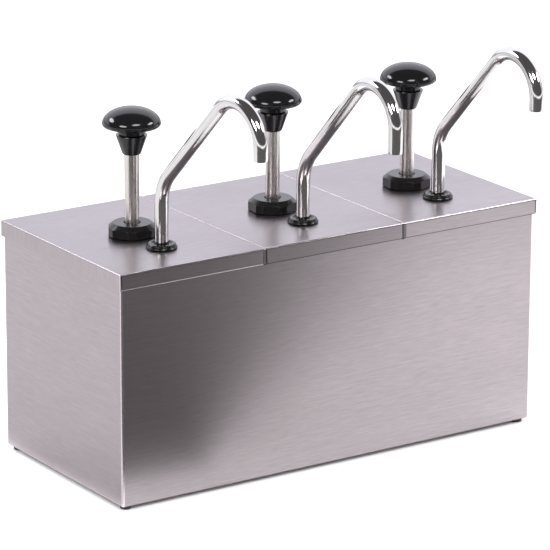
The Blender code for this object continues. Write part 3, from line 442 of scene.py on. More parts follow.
class DISPENSER_OT_housing(bpy.types.Operator):
    """Fold the housing's four walls, with its top lip, bottom flange and the notches for the lids"""

    bl_idname = "dispenser.housing"
    bl_label = "Housing"

    def execute(self, context):
        sheet = context.scene.dispenser_sheet
        low, high = corners("housing")
        centre = (low + high) / 2
        half = (high - low) / 2
        lids = [axis_of(f"lid_{n}")[0] for n in STATIONS]
        seams = [(a + b) / 2 for a, b in zip(lids, lids[1:])]
        notches = [(seam - sheet.notch / 2, seam + sheet.notch / 2) for seam in seams]
        floor_of_notch = corners("lid_1")[0][2] - sheet.notch_drop
        # Section of the skin from the bottom flange's edge, up the wall, to the lip's edge, as
        # (inset, height).
        bend, arc = sheet.housing_bend, 7
        section = rounded(
            [
                (sheet.housing_sheet + sheet.bottom_flange, low[2]),
                (0.0, low[2]),
                (0.0, high[2]),
                (sheet.housing_sheet + sheet.top_lip, high[2]),
            ],
            (bend, bend),
            arc,
        )
        wall = np.linspace(low[2] + 2 * bend, floor_of_notch, 12)
        upper = np.linspace(floor_of_notch, high[2] - 2 * bend, 3)[1:]
        heights = np.concatenate([wall, upper])
        upright = np.stack([0 * heights, heights], 1)
        section = np.concatenate([section[: arc + 1], upright, section[arc + 1 :]])
        # Plan of the skin: straight runs with their own columns, and a quarter turn at each corner.
        # Kinds 0 to 3 are the four walls, and 4 to 7 the corners that follow them.
        corner = sheet.housing_corner
        long_reach, short_reach = half[0] - corner, half[1] - corner
        long_run = np.concatenate([np.linspace(-long_reach, long_reach, 25), np.ravel(notches) - centre[0]])
        long_run = np.unique(np.round(long_run, 7))
        short_run = np.linspace(-short_reach, short_reach, 13)
        turn = np.linspace(0, math.pi / 2, 8)[1:-1]
        runs = (long_run, turn, short_run, turn, -long_run, turn, -short_run, turn)
        front, right, back, left, first_corner = range(5)
        order = (front, 4, right, 5, back, 6, left, 7)
        kind = np.concatenate([np.full(len(run), number) for run, number in zip(runs, order)])
        value = np.concatenate(runs)
        inset = section[:, :1]
        radius = np.maximum(corner - inset, 0.3 * MM)
        reach_x, reach_y = half[0] - inset - radius, half[1] - inset - radius
        quarter = np.clip(kind - first_corner, 0, 3)
        angle = (quarter - 1) * math.pi / 2 + value
        corner_x = np.array([1, 1, -1, -1])[quarter] * reach_x + radius * np.cos(angle)
        corner_y = np.array([-1, 1, 1, -1])[quarter] * reach_y + radius * np.sin(angle)
        along_x = (kind == front) | (kind == back)
        along_y = (kind == right) | (kind == left)
        x = np.select(
            [along_x, kind == right, kind == left],
            [np.clip(value, -reach_x, reach_x), half[0] - inset, inset - half[0]],
            corner_x,
        )
        y = np.select(
            [along_y, kind == back, kind == front],
            [np.clip(value, -reach_y, reach_y), half[1] - inset, inset - half[1]],
            corner_y,
        )
        points = np.stack([x + centre[0], y + centre[1], section[:, 1:] + 0 * x], -1)
        cells = grid_cells(len(section), len(kind), wrap_columns=True)
        middle = points.reshape(-1, 3)[cells].mean(axis=2)
        cut = np.zeros(cells.shape[:2], bool)
        for start, end in notches:
            cut |= (middle[..., 0] > start) & (middle[..., 0] < end) & (middle[..., 2] > floor_of_notch)
        cells = cells[~(cut & along_x[None, :])]
        # The flat map runs round the walls along the grain, and up them across it.
        plan = points[len(section) // 2, :, :2]
        steps = np.diff(plan, axis=0, append=plan[:1])
        run = np.concatenate([[0], np.cumsum(np.hypot(steps[:, 0], steps[:, 1]))[:-1]])
        up = np.concatenate([[0], np.cumsum(np.linalg.norm(np.diff(section, axis=0), axis=1))])
        flat_map = np.stack(np.broadcast_arrays(run[None, :], up[:, None]), -1).reshape(-1, 2)
        # Highlights are painted on the corners and the top bend; the bottom bend is marked 0.1, below where
        # the painted highlight begins.
        steep = np.abs(np.gradient(section[:, 0])) > HAIR
        level = (section[:, 1] > low[2] + 0.2 * bend) & (section[:, 1] < high[2] - 0.2 * bend)
        bent = (0.7 * (section[:, 1] > centre[2]) + 0.1) * (steep & level)
        at_corner = 0.7 * (kind >= first_corner)
        painted_light = np.maximum(at_corner[None, :], bent[:, None]).reshape(-1)
        mesh = mesh_of("housing_shell", points.reshape(-1, 3), cells, False, flat_map, painted_light)
        piece = add_piece(mesh, "brushed_stainless", "housing", ["housing"])
        solid_sheet(piece, sheet.housing_sheet)
        return {"FINISHED"}


class DISPENSER_OT_lids(bpy.types.Operator):
    """Fold the three lids, with a flange on each side, relief slots at the corners and two holes"""

    bl_idname = "dispenser.lids"
    bl_label = "Lids"

    def execute(self, context):
        sheet = context.scene.dispenser_sheet
        for n in STATIONS:
            low, high = corners(f"lid_{n}")
            centre = (low + high) / 2
            half = (high - low) / 2
            flange = high[2] - low[2]
            rod = axis_of(f"plunger_rod_{n}") - centre[:2]
            tube = axis_of(f"spout_grommet_{n}") - centre[:2]
            holes = [(rod, sheet.neck_hole), (tube, sheet.tube_hole)]
            fan = np.linspace(-1, 1, 9) * OPENING
            slot = half[0] - sheet.lid_sheet - sheet.relief
            wide = np.concatenate([np.linspace(-half[0], half[0], 19), [-slot, slot]])
            deep = np.linspace(-half[1], half[1], 25)
            for at, radius in holes:
                wide = np.concatenate([wide, at[0] + fan * radius])
                deep = np.concatenate([deep, at[1] + fan * radius])
            bend = sheet.lid_bend
            px, drop_x, run_x = bend_line(half[0], bend, flange, np.unique(np.round(wide, 6)))
            py, drop_y, run_y = bend_line(half[1], bend, flange, np.unique(np.round(deep, 6)))
            x, y = np.meshgrid(px, py)
            drop = np.maximum(drop_x[None, :], drop_y[:, None])
            cells = grid_cells(len(py), len(px))
            mid_x = (px[1:] + px[:-1])[None, :] / 2
            mid_y = (py[1:] + py[:-1])[:, None] / 2
            # The front and back flanges stop at the relief slots; the side flanges run to the ends.
            in_end_flange = np.minimum(drop_y[1:], drop_y[:-1])[:, None] >= bend - 1e-9
            in_side_flange = np.minimum(drop_x[1:], drop_x[:-1])[None, :] >= bend - 1e-9
            gone = in_end_flange & (in_side_flange | (np.abs(mid_x) > slot))
            for at, radius in holes:
                x, y, square = open_round(x, y, at, radius)
                square -= HAIR
                gone |= (np.abs(mid_x - at[0]) < square) & (np.abs(mid_y - at[1]) < square)
            # The first lid's front edge is rolled in: y moves in by the roll x (share of the last
            # 0.8 mm) squared.
            rolled = 0.8 * MM
            share = np.clip((drop_y - flange + rolled) / rolled, 0, 1)[:, None]
            y = y - np.sign(y) * share**2 * (sheet.edge_roll if n == 1 else 0.0)
            # The second lid's end flanges sprang open: they lean in by the springback at the bend,
            # and by nothing at their lower edge.
            in_end = np.abs(py) > half[1] - bend - HAIR
            leaning = np.where(in_end, 1 - drop_y / flange, 0.0)[:, None]
            y = y - np.sign(y) * leaning * (sheet.springback if n == 2 else 0.0)
            points = np.stack([x + centre[0], y + centre[1], high[2] - drop], -1).reshape(-1, 3)
            # Each lid is cut from another place of the sheet, so that no two show the same grain.
            cut_x, cut_y = 0.37 * n, 0.11 * n
            ux, uy = np.meshgrid(run_x, run_y)
            flat_map = np.stack([ux + cut_x, uy + cut_y], -1).reshape(-1, 2)
            # A highlight is painted on the bends and shade in the strip just under them. The first lid's
            # lower edge gets a painted highlight and the others' painted shade; the second lid's side bends
            # get no painted highlight.
            on_bend_x = (drop_x > HAIR) & (drop_x < bend - HAIR)
            on_bend_y = (drop_y > HAIR) & (drop_y < bend - HAIR)
            under_bend = (drop_y >= bend - HAIR) & (drop_y < bend + 0.5 * MM)
            at_edge = drop_y > flange - 0.6 * MM
            end_painted_light = 1.0 * on_bend_y - 0.7 * under_bend + (1.0 if n == 1 else -1.0) * at_edge
            side_painted_light = (0.0 if n == 2 else 0.35) * on_bend_x
            end_painted_light, side_painted_light = np.broadcast_arrays(end_painted_light[:, None], side_painted_light[None, :])
            painted_light = np.where(end_painted_light != 0, end_painted_light, side_painted_light).reshape(-1)
            mesh = mesh_of(f"pump_lid_{n}", points, cells[~gone], False, flat_map, painted_light)
            piece = add_piece(mesh, "brushed_stainless", f"pump_{n}", [f"lid_{n}"])
            solid_sheet(piece, sheet.lid_sheet)
        return {"FINISHED"}


# ---- Turned pieces ----
class DISPENSER_OT_knobs(bpy.types.Operator):
    """Turn the three mushroom knobs and the tapered collars below them"""

    bl_idname = "dispenser.knobs"
    bl_label = "Knobs and collars"

    def execute(self, context):
        sizes = context.scene.dispenser_pump
        for n in STATIONS:
            low, high = corners(f"knob_{n}")
            axis = axis_of(f"knob_{n}")
            radius = (high[0] - low[0]) / 2
            rim_under = low[2] + sizes.knob_neck
            widest = rim_under + sizes.knob_rim
            dome = high[2] - widest
            # Dome: a half ellipse, r = R cos a and z = widest + H sin a, from the apex to a fine
            # step at the rim.
            angle = np.linspace(math.pi / 2, 0.06, 26)
            top = np.stack([radius * np.cos(angle), widest + dome * np.sin(angle)], 1)
            top[0, 0] = 0.0
            groove = sizes.knob_seam
            bore, depth = 4.3 * MM, 15.0 * MM
            edge = rounded(
                [
                    (radius - 0.1 * groove, widest + 0.8 * groove),
                    (radius - groove, widest + 0.3 * groove),
                    (radius - 0.2 * groove, widest - 0.4 * groove),
                    (radius - 0.4 * MM, widest - 0.45 * sizes.knob_rim),
                    (radius - 2.0 * MM, rim_under),
                    (radius - 3.4 * MM, rim_under + 0.5 * MM),
                    (sizes.knob_neck_radius + 0.2 * MM, rim_under + 0.8 * MM),
                    (sizes.knob_neck_radius, low[2]),
                    (bore, low[2]),
                    (bore, low[2] + depth),
                    (0.0, low[2] + depth),
                ],
                np.array([0.1, 0.1, 0.6, 1.2, 0.4, 0.8, 0.3, 0.1, 0.2]) * MM,
            )
            mesh = turned_mesh(f"pump_knob_{n}", np.concatenate([top, edge]), 96, axis)
            add_piece(mesh, "black_phenolic", f"plunger_{n}", [f"knob_{n}"])
            low, high = corners(f"knob_collar_{n}")
            top_radius = (high[0] - low[0]) / 2
            bore = sizes.rod_radius + CLEARANCE
            profile = closed_ring(
                [
                    (bore, low[2]),
                    (sizes.collar_foot_radius - 0.7 * MM, low[2]),
                    (sizes.collar_foot_radius, low[2] + 1.1 * MM),
                    (top_radius, high[2] - 0.4 * MM),
                    (top_radius - 0.15 * MM, high[2]),
                    (bore, high[2]),
                ],
                np.array([0.05, 0.4, 0.5, 0.12, 0.12, 0.05]) * MM,
            )
            mesh = turned_mesh(f"pump_collar_{n}", profile, 72, axis, ring=True)
            add_piece(mesh, "black_phenolic", f"plunger_{n}", [f"knob_collar_{n}"])
        return {"FINISHED"}


class DISPENSER_OT_rods(bpy.types.Operator):
    """Turn the three plunger rods, with a short threaded stud at each end"""

    bl_idname = "dispenser.rods"
    bl_label = "Plunger rods"

    def execute(self, context):
        sizes = context.scene.dispenser_pump
        for n in STATIONS:
            low, high = corners(f"plunger_rod_{n}")
            axis = axis_of(f"plunger_rod_{n}")
            shoulder = corners(f"piston_{n}")[1][2] + CLEARANCE
            collar_top = corners(f"knob_collar_{n}")[1][2]
            # A stud's thread is a zigzag between its root and its crest.
            stud, root, thread_end, turns = 4.0 * MM, 3.6 * MM, 0.4 * MM, 14
            share = np.linspace(0, 1, 2 * turns + 1)
            crest = np.where(np.arange(len(share)) % 2 == 0, root, stud)
            lower, upper = shoulder - low[2] - 2 * thread_end, high[2] - collar_top - 2 * thread_end
            under = np.stack([crest, low[2] + thread_end + share * lower], 1)
            over = np.stack([crest, collar_top + thread_end + share * upper], 1)
            shaft = rounded(
                [
                    (stud, shoulder),
                    (sizes.rod_radius, shoulder),
                    (sizes.rod_radius, collar_top),
                    (stud, collar_top),
                ],
                (0.6 * MM, 0.6 * MM),
            )
            bottom, top = [(0, low[2]), (root, low[2])], [(root, high[2]), (0, high[2])]
            profile = np.concatenate([bottom, under, shaft, over, top])
            mesh = turned_mesh(f"pump_rod_{n}", profile, 72, axis)
            add_piece(mesh, "satin_stainless", f"plunger_{n}", [f"plunger_rod_{n}"])
        return {"FINISHED"}


CORNER_REACH = 23.0 * MM  # hand nut: axis to the points where the cut-off corners begin
NUT_TURNS = (-1.7, 23.3, 21.8)  # degrees, as each nut happened to tighten
FACE = math.tau / 6  # angle that one face of a hexagon takes up


def hexagon_edge(angle, flats, corner_cut=math.inf):
    """Distance from the axis to a hexagon's edge: the least of a / cos(angle to a face).

    The main faces stand at flats / 2 from the axis, and the faces that cut the corners off stand
    at corner_cut from it.
    """
    to_face = np.abs((angle + FACE / 2) % FACE - FACE / 2)
    to_corner = np.abs(angle % FACE - FACE / 2)
    return np.minimum(flats / 2 / np.cos(to_face), corner_cut / np.cos(to_corner))


def nut_mesh(name, axis, angle, turn, edge, rows):
    """A nut as a grid of profile rows and angles.

    A row is (height, radius, slope). Without a slope, the distance from the axis is the smaller
    of the radius and the hexagon's own edge. With one, the row runs along the edge at the height
    where a cone meets it, height - max(edge - radius, 0) x slope, so that a turned chamfer meets
    the flats in its true curve.
    """
    grid = []
    for height, radius, slope in rows:
        reach = np.minimum(edge, radius) if slope is None else edge
        z = height - np.maximum(edge - radius, 0) * (slope or 0.0)
        x = axis[0] + reach * np.cos(angle + turn)
        y = axis[1] + reach * np.sin(angle + turn)
        grid.append(np.stack([x, y, z], -1))
    points = np.array(grid).reshape(-1, 3)
    return mesh_of(name, points, grid_cells(len(rows), len(angle), wrap_rows=True, wrap_columns=True))


class DISPENSER_OT_nuts(bpy.types.Operator):
    """Cut the three hand nuts round the rods, six-sided with their corners cut off"""

    bl_idname = "dispenser.nuts"
    bl_label = "Hand nuts"

    def execute(self, context):
        sizes = context.scene.dispenser_pump
        for n in STATIONS:
            low, high = corners(f"lock_nut_{n}")
            axis = axis_of(f"plunger_rod_{n}")
            # A main face ends CORNER_REACH from the axis, at the angle atan(half its width / a) from
            # its middle, with a = flats / 2. The grid has a column at every such end.
            flats = sizes.nut_flats
            half_width = math.sqrt(CORNER_REACH**2 - (flats / 2) ** 2)
            face_end = math.atan2(half_width, flats / 2)
            share = np.linspace(0, 1, 14, endpoint=False)
            on_face = -face_end + 2 * face_end * share
            on_corner = face_end + (FACE - 2 * face_end) * share[::2]
            one_face = np.concatenate([on_face, on_corner])
            angle = (one_face[None, :] + FACE * np.arange(6)[:, None]).ravel()
            edge = hexagon_edge(angle, flats, CORNER_REACH * math.cos(FACE / 2 - face_end))
            slope = sizes.nut_chamfer / (CORNER_REACH - sizes.nut_top_radius)
            thread = 13.5 * MM
            bore = sizes.rod_radius + 0.9 * MM
            web = high[2] - 3.0 * MM
            wide = 1.0  # wider than any edge, so the row follows the hexagon
            rows = [
                (web, thread, None),
                (low[2] + 0.5 * MM, thread, None),
                (low[2], thread + 0.5 * MM, None),
                (low[2], flats / 2 - 0.9 * MM, None),
                (low[2] + 0.15 * MM, flats / 2 - 0.3 * MM, None),
                (low[2] + 0.6 * MM, wide, None),
                (high[2] - 0.25 * MM, sizes.nut_top_radius, slope),
                (high[2] - 0.12 * MM, sizes.nut_top_radius - 0.02 * MM, None),
                (high[2], sizes.nut_top_radius - 0.5 * MM, None),
                (high[2], bore + 0.7 * MM, None),
                (high[2] - 0.15 * MM, bore + 0.15 * MM, None),
                (high[2] - 0.6 * MM, bore, None),
                (web, bore, None),
            ]
            turn = math.radians(NUT_TURNS[n - 1]) + FACE / 2
            mesh = nut_mesh(f"hand_nut_{n}", axis, angle, turn, edge, rows)
            piece = add_piece(mesh, "black_nylon", f"pump_{n}", [f"lock_nut_{n}"], sharp=60)
            edges = piece.modifiers.new("Soft edges", "BEVEL")
            edges.width = 0.45 * MM
            edges.segments = 3
            edges.limit_method = "ANGLE"
            edges.angle_limit = math.radians(14)
            piece.modifiers.move(len(piece.modifiers) - 1, 0)
        return {"FINISHED"}


class DISPENSER_OT_grommets(bpy.types.Operator):
    """Turn the three two-lipped grommets that hold the bent tubes in the lids"""

    bl_idname = "dispenser.grommets"
    bl_label = "Grommets"

    def execute(self, context):
        for n in STATIONS:
            low, high = corners(f"spout_grommet_{n}")
            axis = axis_of(f"spout_grommet_{n}")
            lid_top = corners(f"lid_{n}")[1][2]
            lid_under = lid_top - context.scene.dispenser_sheet.lid_sheet
            radius = (high[0] - low[0]) / 2
            tall = high[2] - lid_top
            bore, neck, collar = 6.65 * MM, 9.2 * MM, 11.5 * MM
            profile = closed_ring(
                [
                    (bore, low[2]),
                    (collar, low[2]),
                    (collar, lid_under - CLEARANCE),
                    (neck, lid_under - CLEARANCE),
                    (neck, lid_top + CLEARANCE),
                    (radius - 0.5 * MM, lid_top + CLEARANCE),
                    (radius, lid_top + 0.28 * tall),
                    (radius - 0.6 * MM, lid_top + 0.5 * tall),
                    (radius - 1.5 * MM, lid_top + 0.56 * tall),
                    (radius - 1.2 * MM, lid_top + 0.78 * tall),
                    (radius - 2.4 * MM, high[2]),
                    (radius - 4.6 * MM, high[2] - 0.1 * MM),
                    (bore + 1.9 * MM, high[2] - 1.2 * MM),
                    (bore + 0.2 * MM, high[2] - 0.9 * MM),
                    (bore, high[2] - 1.4 * MM),
                ],
                np.array([0.2, 0.4, 0.4, 0.1, 0.1, 0.5, 0.8, 0.5, 0.25, 0.7, 0.7, 0.6, 0.5, 0.2, 0.2]) * MM,
            )
            mesh = turned_mesh(f"tube_grommet_{n}", profile, 72, axis, ring=True)
            add_piece(mesh, "black_nylon", f"pump_{n}", [f"spout_grommet_{n}"])
        return {"FINISHED"}


# ---- Bent tubes ----
SPOUT_REACH = 149.0 * MM  # from the upright leg to the nozzle
SPOUT_TURNS = (3.0, -1.3, -0.4)  # degrees about the upright leg
SPOUT_DROPS = (44.9 * MM, 55.0 * MM, 45.1 * MM)  # nozzle's end below the top of the centre line
RISE = math.radians(90 - 45.3)  # heading of the straight run, from upright
FOOT_BEND = 44.0 * MM
HEAD_BEND = 35.2 * MM


def tube_line(foot, apex, drop):
    """Centre line of a bent tube, as rows of (forward, height, heading).

    Upright from the foot, round an arc of FOOT_BEND to the straight rise, round an arc of
    HEAD_BEND over the top until it points down, and on to the nozzle. Forward is how far it has
    reached from the upright leg. On each arc the place is centre + radius x (1 - cos, sin) of the
    heading, with the heading growing evenly.
    """
    head_forward = SPOUT_REACH - HEAD_BEND
    head_z = apex - HEAD_BEND
    run_forward = head_forward - HEAD_BEND * math.cos(RISE)
    run_z = head_z + HEAD_BEND * math.sin(RISE)
    corner_z = run_z - run_forward / math.tan(RISE)
    bend_z = corner_z - FOOT_BEND * math.tan(RISE / 2)
    leg = np.stack([np.zeros(6), np.linspace(foot, bend_z, 7)[:-1], np.zeros(6)], 1)
    heading = np.linspace(0, RISE, 18)
    forward = FOOT_BEND * (1 - np.cos(heading))
    low_arc = np.stack([forward, bend_z + FOOT_BEND * np.sin(heading), heading], 1)
    start = low_arc[-1]
    share = np.linspace(0, 1, 14)[1:-1]
    forward = start[0] + share * (run_forward - start[0])
    run = np.stack([forward, start[1] + share * (run_z - start[1]), 0 * share + RISE], 1)
    heading = np.linspace(RISE, math.pi, 44)
    forward = head_forward - HEAD_BEND * np.cos(heading)
    high_arc = np.stack([forward, head_z + HEAD_BEND * np.sin(heading), heading], 1)
    fall = np.linspace(head_z, apex - drop, 6)[1:]
    tip = np.stack([np.full(5, SPOUT_REACH), fall, np.full(5, math.pi)], 1)
    return np.concatenate([leg, low_arc, run, high_arc, tip])


def carried(line, radius, sides, axis, turn):
    """Grid of a circle carried along a bent line, square to its heading.

    With h the heading, a circle point at angle a stands r cos a to the side, and r sin a along
    the direction (cos h, -sin h) in the plane of forward and height. The plane is then turned
    about the upright axis; forward is -Y before the turn.
    """
    forward, height, heading = (line[:, k : k + 1] for k in range(3))
    radius = np.asarray(radius, float).reshape(-1, 1)
    a = np.linspace(0, math.tau, sides, endpoint=False)[None, :]
    side = radius * np.cos(a)
    ahead = forward + radius * np.sin(a) * np.cos(heading)
    z = height - radius * np.sin(a) * np.sin(heading)
    x = side * math.cos(turn) + ahead * math.sin(turn)
    y = side * math.sin(turn) - ahead * math.cos(turn)
    return np.stack([x + axis[0], y + axis[1], z], -1)


class DISPENSER_OT_spouts(bpy.types.Operator):
    """Bend the three polished discharge tubes, hollow from end to end"""

    bl_idname = "dispenser.spouts"
    bl_label = "Bent tubes"

    def execute(self, context):
        sizes = context.scene.dispenser_pump
        for n in STATIONS:
            low, high = corners(f"spout_{n}")
            axis = axis_of(f"spout_grommet_{n}")
            outside, bore = sizes.tube_radius, sizes.tube_radius - sizes.tube_wall
            line = tube_line(low[2] + 0.4 * MM, high[2] - outside, SPOUT_DROPS[n - 1])
            # The bead at the foot, that the union nut holds.
            bead_low = corners(f"union_seal_{n}")[1][2] + CLEARANCE
            bead_z = np.array([0.0, 0.0, 0.5, 1.2, 1.9, 2.4, 2.4]) * MM + bead_low
            bead_r = outside + np.array([0.0, 2.2, 2.9, 3.05, 2.9, 2.2, 0.0]) * MM
            bead = np.stack([0 * bead_z, bead_z, 0 * bead_z], 1)
            above = line[line[:, 1] > bead_z[-1] + 0.1 * MM]
            # Up the outside from the foot to the nozzle, and down the bore, with the edges eased.
            foot, tip = np.array([[0.0, low[2], 0.0]]), line[-1:]
            up = np.array([[0.0, 0.1 * MM, 0.0]])
            outer = np.concatenate([foot + 4 * up, bead, above[:-1], tip + 4 * up, tip])
            inner = np.concatenate([tip, tip + 3 * up, above[:-1][::-1], foot])
            eased = outside - 0.3 * MM
            outer_r = np.concatenate([[outside], bead_r, np.full(len(above), outside), [eased]])
            inner_r = np.concatenate([[bore + 0.2 * MM], np.full(len(above) + 1, bore)])
            rows = np.concatenate([outer, inner, foot])
            radii = np.concatenate([outer_r, inner_r, [eased]])
            turn, sides = math.radians(SPOUT_TURNS[n - 1]), 64
            points = carried(rows, radii, sides, axis, turn).reshape(-1, 3)
            cells = grid_cells(len(rows), sides, wrap_rows=True, wrap_columns=True)
            mesh = mesh_of(f"bent_tube_{n}", points, cells)
            add_piece(mesh, "polished_stainless", f"pump_{n}", [f"spout_{n}"], sharp=50)
        return {"FINISHED"}


class DISPENSER_OT_jars(bpy.types.Operator):
    """Draw the three deep jars with rounded corners and a flat rim"""

    bl_idname = "dispenser.jars"
    bl_label = "Jars"

    def execute(self, context):
        sheet = context.scene.dispenser_sheet
        for n in STATIONS:
            low, high = corners(f"jar_{n}")
            centre = (low + high) / 2
            width, depth = (high - low)[:2] - 2 * sheet.jar_rim
            taper, wall, rim = 3.0 * MM, sheet.jar_wall, sheet.jar_rim
            floor = low[2] + wall
            # Section, from the middle of the underside out, up the wall, over the rim and back to
            # the middle.
            section = rounded(
                [
                    (0.9 * depth / 2, low[2]),
                    (taper, low[2]),
                    (0.0, high[2] - rim),
                    (-rim, high[2] - rim),
                    (-rim, high[2]),
                    (wall, high[2]),
                    (wall + taper, floor),
                    (0.9 * depth / 2, floor),
                ],
                np.array([6.0, 0.6, 0.5, 1.2, 1.4, 5.0]) * MM,
                7,
            )
            inset = section[:, :1]
            steps = 12
            sides = 4 * steps
            quarter = np.repeat(np.arange(4), steps)
            turn = quarter * math.pi / 2 + np.tile(np.linspace(0, math.pi / 2, steps), 4)
            sx = np.array([1, -1, -1, 1])[quarter]
            sy = np.array([1, 1, -1, -1])[quarter]
            radius = np.clip(19.0 * MM - inset * 0.8, 0.5 * MM, None)
            reach_x = np.maximum(width / 2 - inset - radius, 0)
            reach_y = np.maximum(depth / 2 - inset - radius, 0)
            x = centre[0] + sx * reach_x + radius * np.cos(turn)
            y = centre[1] + sy * reach_y + radius * np.sin(turn)
            points = np.stack([x, y, section[:, 1:] + 0 * x], -1)
            middles = np.array([(*centre[:2], low[2]), (*centre[:2], floor)])
            ends = np.repeat(middles[:, None, :], sides, axis=1)
            points = np.concatenate([ends[:1], points, ends[1:]])
            cells = grid_cells(len(points), sides, wrap_columns=True)
            plan, side = points[10, :, :2], points[:, 0]
            run = np.cumsum(np.linalg.norm(np.diff(plan, axis=0, prepend=plan[:1]), axis=1))
            up = np.cumsum(np.linalg.norm(np.diff(side, axis=0, prepend=side[:1]), axis=1))
            flat_map = np.stack(np.broadcast_arrays(run[None, :], up[:, None]), -1).reshape(-1, 2)
            mesh = mesh_of(f"insert_jar_{n}", points.reshape(-1, 3), cells, flat_map=flat_map)
            add_piece(mesh, "brushed_stainless", f"jar_{n}", [f"jar_{n}"])
        return {"FINISHED"}


class DISPENSER_OT_inner_pump(bpy.types.Operator):
    """Turn the pump cylinders and suction tubes, cut the union nuts and wind the return springs"""

    bl_idname = "dispenser.inner_pump"
    bl_label = "Pump internals"

    def execute(self, context):
        for n in STATIONS:
            axis = axis_of(f"plunger_rod_{n}")
            front = axis_of(f"spout_grommet_{n}")
            low, high = corners(f"pump_cylinder_{n}")
            flange = corners(f"lid_{n}")[1][2] - context.scene.dispenser_sheet.lid_sheet - CLEARANCE
            bore, outside, neck, wide = 11.0 * MM, 12.6 * MM, 13.0 * MM, 19.0 * MM
            profile = closed_ring(
                [
                    (bore, low[2]),
                    (outside, low[2]),
                    (outside, flange - 2.8 * MM),
                    (wide, flange - 2.8 * MM),
                    (wide, flange),
                    (neck, flange),
                    (neck, high[2]),
                    (bore, high[2]),
                ],
                np.array([0.2, 0.3, 0.8, 0.4, 0.4, 0.1, 0.4, 0.2]) * MM,
            )
            mesh = turned_mesh(f"cylinder_tube_{n}", profile, 64, axis, ring=True)
            add_piece(mesh, "polished_stainless", f"pump_{n}", [f"pump_cylinder_{n}"])
            low, high = corners(f"suction_tube_{n}")
            flange = corners(f"valve_body_{n}")[0][2] - CLEARANCE
            bore, outside, neck, wide = 5.0 * MM, 7.5 * MM, 10.0 * MM, 13.0 * MM
            profile = closed_ring(
                [
                    (bore, low[2]),
                    (outside, low[2]),
                    (outside, flange - 3.5 * MM),
                    (wide, flange - 3.5 * MM),
                    (wide, flange),
                    (neck, flange),
                    (neck, high[2]),
                    (bore, high[2]),
                ],
                np.array([0.3, 0.6, 1.0, 0.6, 0.3, 0.1, 0.3, 0.3]) * MM,
            )
            mesh = turned_mesh(f"inlet_tube_{n}", profile, 56, axis, ring=True)
            add_piece(mesh, "white_acetal", f"pump_{n}", [f"suction_tube_{n}"])
            low, high = corners(f"union_nut_{n}")
            flats = high[1] - low[1]
            thread, bore = 10.8 * MM, 6.95 * MM
            web = high[2] - 2.8 * MM
            rows = [
                (web, thread, None),
                (low[2] + 0.5 * MM, thread, None),
                (low[2], 11.2 * MM, None),
                (low[2], flats / 2 - 0.4 * MM, None),
                (low[2], flats / 2 - 0.2 * MM, -0.5),
                (high[2], flats / 2 - 0.2 * MM, 0.5),
                (high[2], flats / 2 - 0.4 * MM, None),
                (high[2], 7.4 * MM, None),
                (high[2] - 0.4 * MM, bore, None),
                (web, bore, None),
            ]
            angle = np.linspace(0, math.tau, 72, endpoint=False)
            edge = hexagon_edge(angle, flats)
            mesh = nut_mesh(f"tube_union_{n}", front, angle, math.pi / 2, edge, rows)
            add_piece(mesh, "polished_stainless", f"pump_{n}", [f"union_nut_{n}"], sharp=25)
            # Spring: a wire circle carried along a helix, (R cos t, R sin t, rise x t), with closed
            # flat ends.
            low, high = corners(f"return_spring_{n}")
            coil, wire, coils, steps, sides = 9.3 * MM, 0.8 * MM, 7, 28, 10
            t = np.linspace(0, coils * math.tau, coils * steps + 1)[:, None]
            rise = (high[2] - low[2] - 2 * wire) / t[-1, 0]
            grow = np.concatenate([[0.0], np.full(len(t), wire), [0.0]])[:, None]
            t = np.concatenate([t[:1], t, t[-1:]])
            a = np.linspace(0, math.tau, sides, endpoint=False)[None, :]
            r = coil + grow * np.cos(a)
            z = low[2] + wire + rise * t + grow * np.sin(a)
            points = np.stack([axis[0] + r * np.cos(t), axis[1] + r * np.sin(t), z], -1)
            cells = grid_cells(len(t), sides, wrap_columns=True)
            mesh = mesh_of(f"coil_spring_{n}", points.reshape(-1, 3), cells)
            spring = add_piece(
                mesh, "spring_steel", f"pump_{n}", [f"return_spring_{n}"], sharp=60, even_shading=False
            )
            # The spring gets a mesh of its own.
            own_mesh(spring)
        return {"FINISHED"}


class DISPENSER_OT_feet(bpy.types.Operator):
    """Turn the four rubber bumpers under the housing"""

    bl_idname = "dispenser.feet"
    bl_label = "Feet"

    def execute(self, context):
        for place in ("front_left", "front_right", "back_left", "back_right"):
            low, high = corners(f"foot_{place}")
            axis = axis_of(f"foot_{place}")
            radius = (high[0] - low[0]) / 2
            head = corners("housing")[0][2] - CLEARANCE
            stem, barb = 2.2 * MM, 3.0 * MM
            profile = rounded(
                [
                    (0.0, low[2]),
                    (radius - 0.4 * MM, low[2]),
                    (radius, head),
                    (stem, head),
                    (stem, high[2] - 2.0 * MM),
                    (barb, high[2] - 2.0 * MM),
                    (stem, high[2]),
                    (0.0, high[2]),
                ],
                np.array([0.9, 0.5, 0.1, 0.1, 0.1, 0.1]) * MM,
            )
            mesh = turned_mesh(f"bumper_{place}", profile, 48, axis)
            add_piece(mesh, "rubber_foot", "housing", [f"foot_{place}"])
        return {"FINISHED"}


class DISPENSER_OT_frame_finishes(bpy.types.Operator):
    """Give every solid that stays its own finish: base plate, valve bodies, pistons, seals and balls"""

    bl_idname = "dispenser.frame_finishes"
    bl_label = "Finishes of the solids"

    def execute(self, context):
        finishes = {
            "base_plate": "plain_stainless",
            "valve_body": "white_acetal",
            "union_seal": "black_rubber",
            "piston": "white_acetal",
            "piston_seal": "black_rubber",
            "inlet_ball": "spring_steel",
            "discharge_ball": "spring_steel",
        }
        for name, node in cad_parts.items():
            slot = finishes.get(name.rstrip("_123"))
            if slot:
                node.data.materials.clear()
                node.data.materials.append(finish(slot))
        return {"FINISHED"}


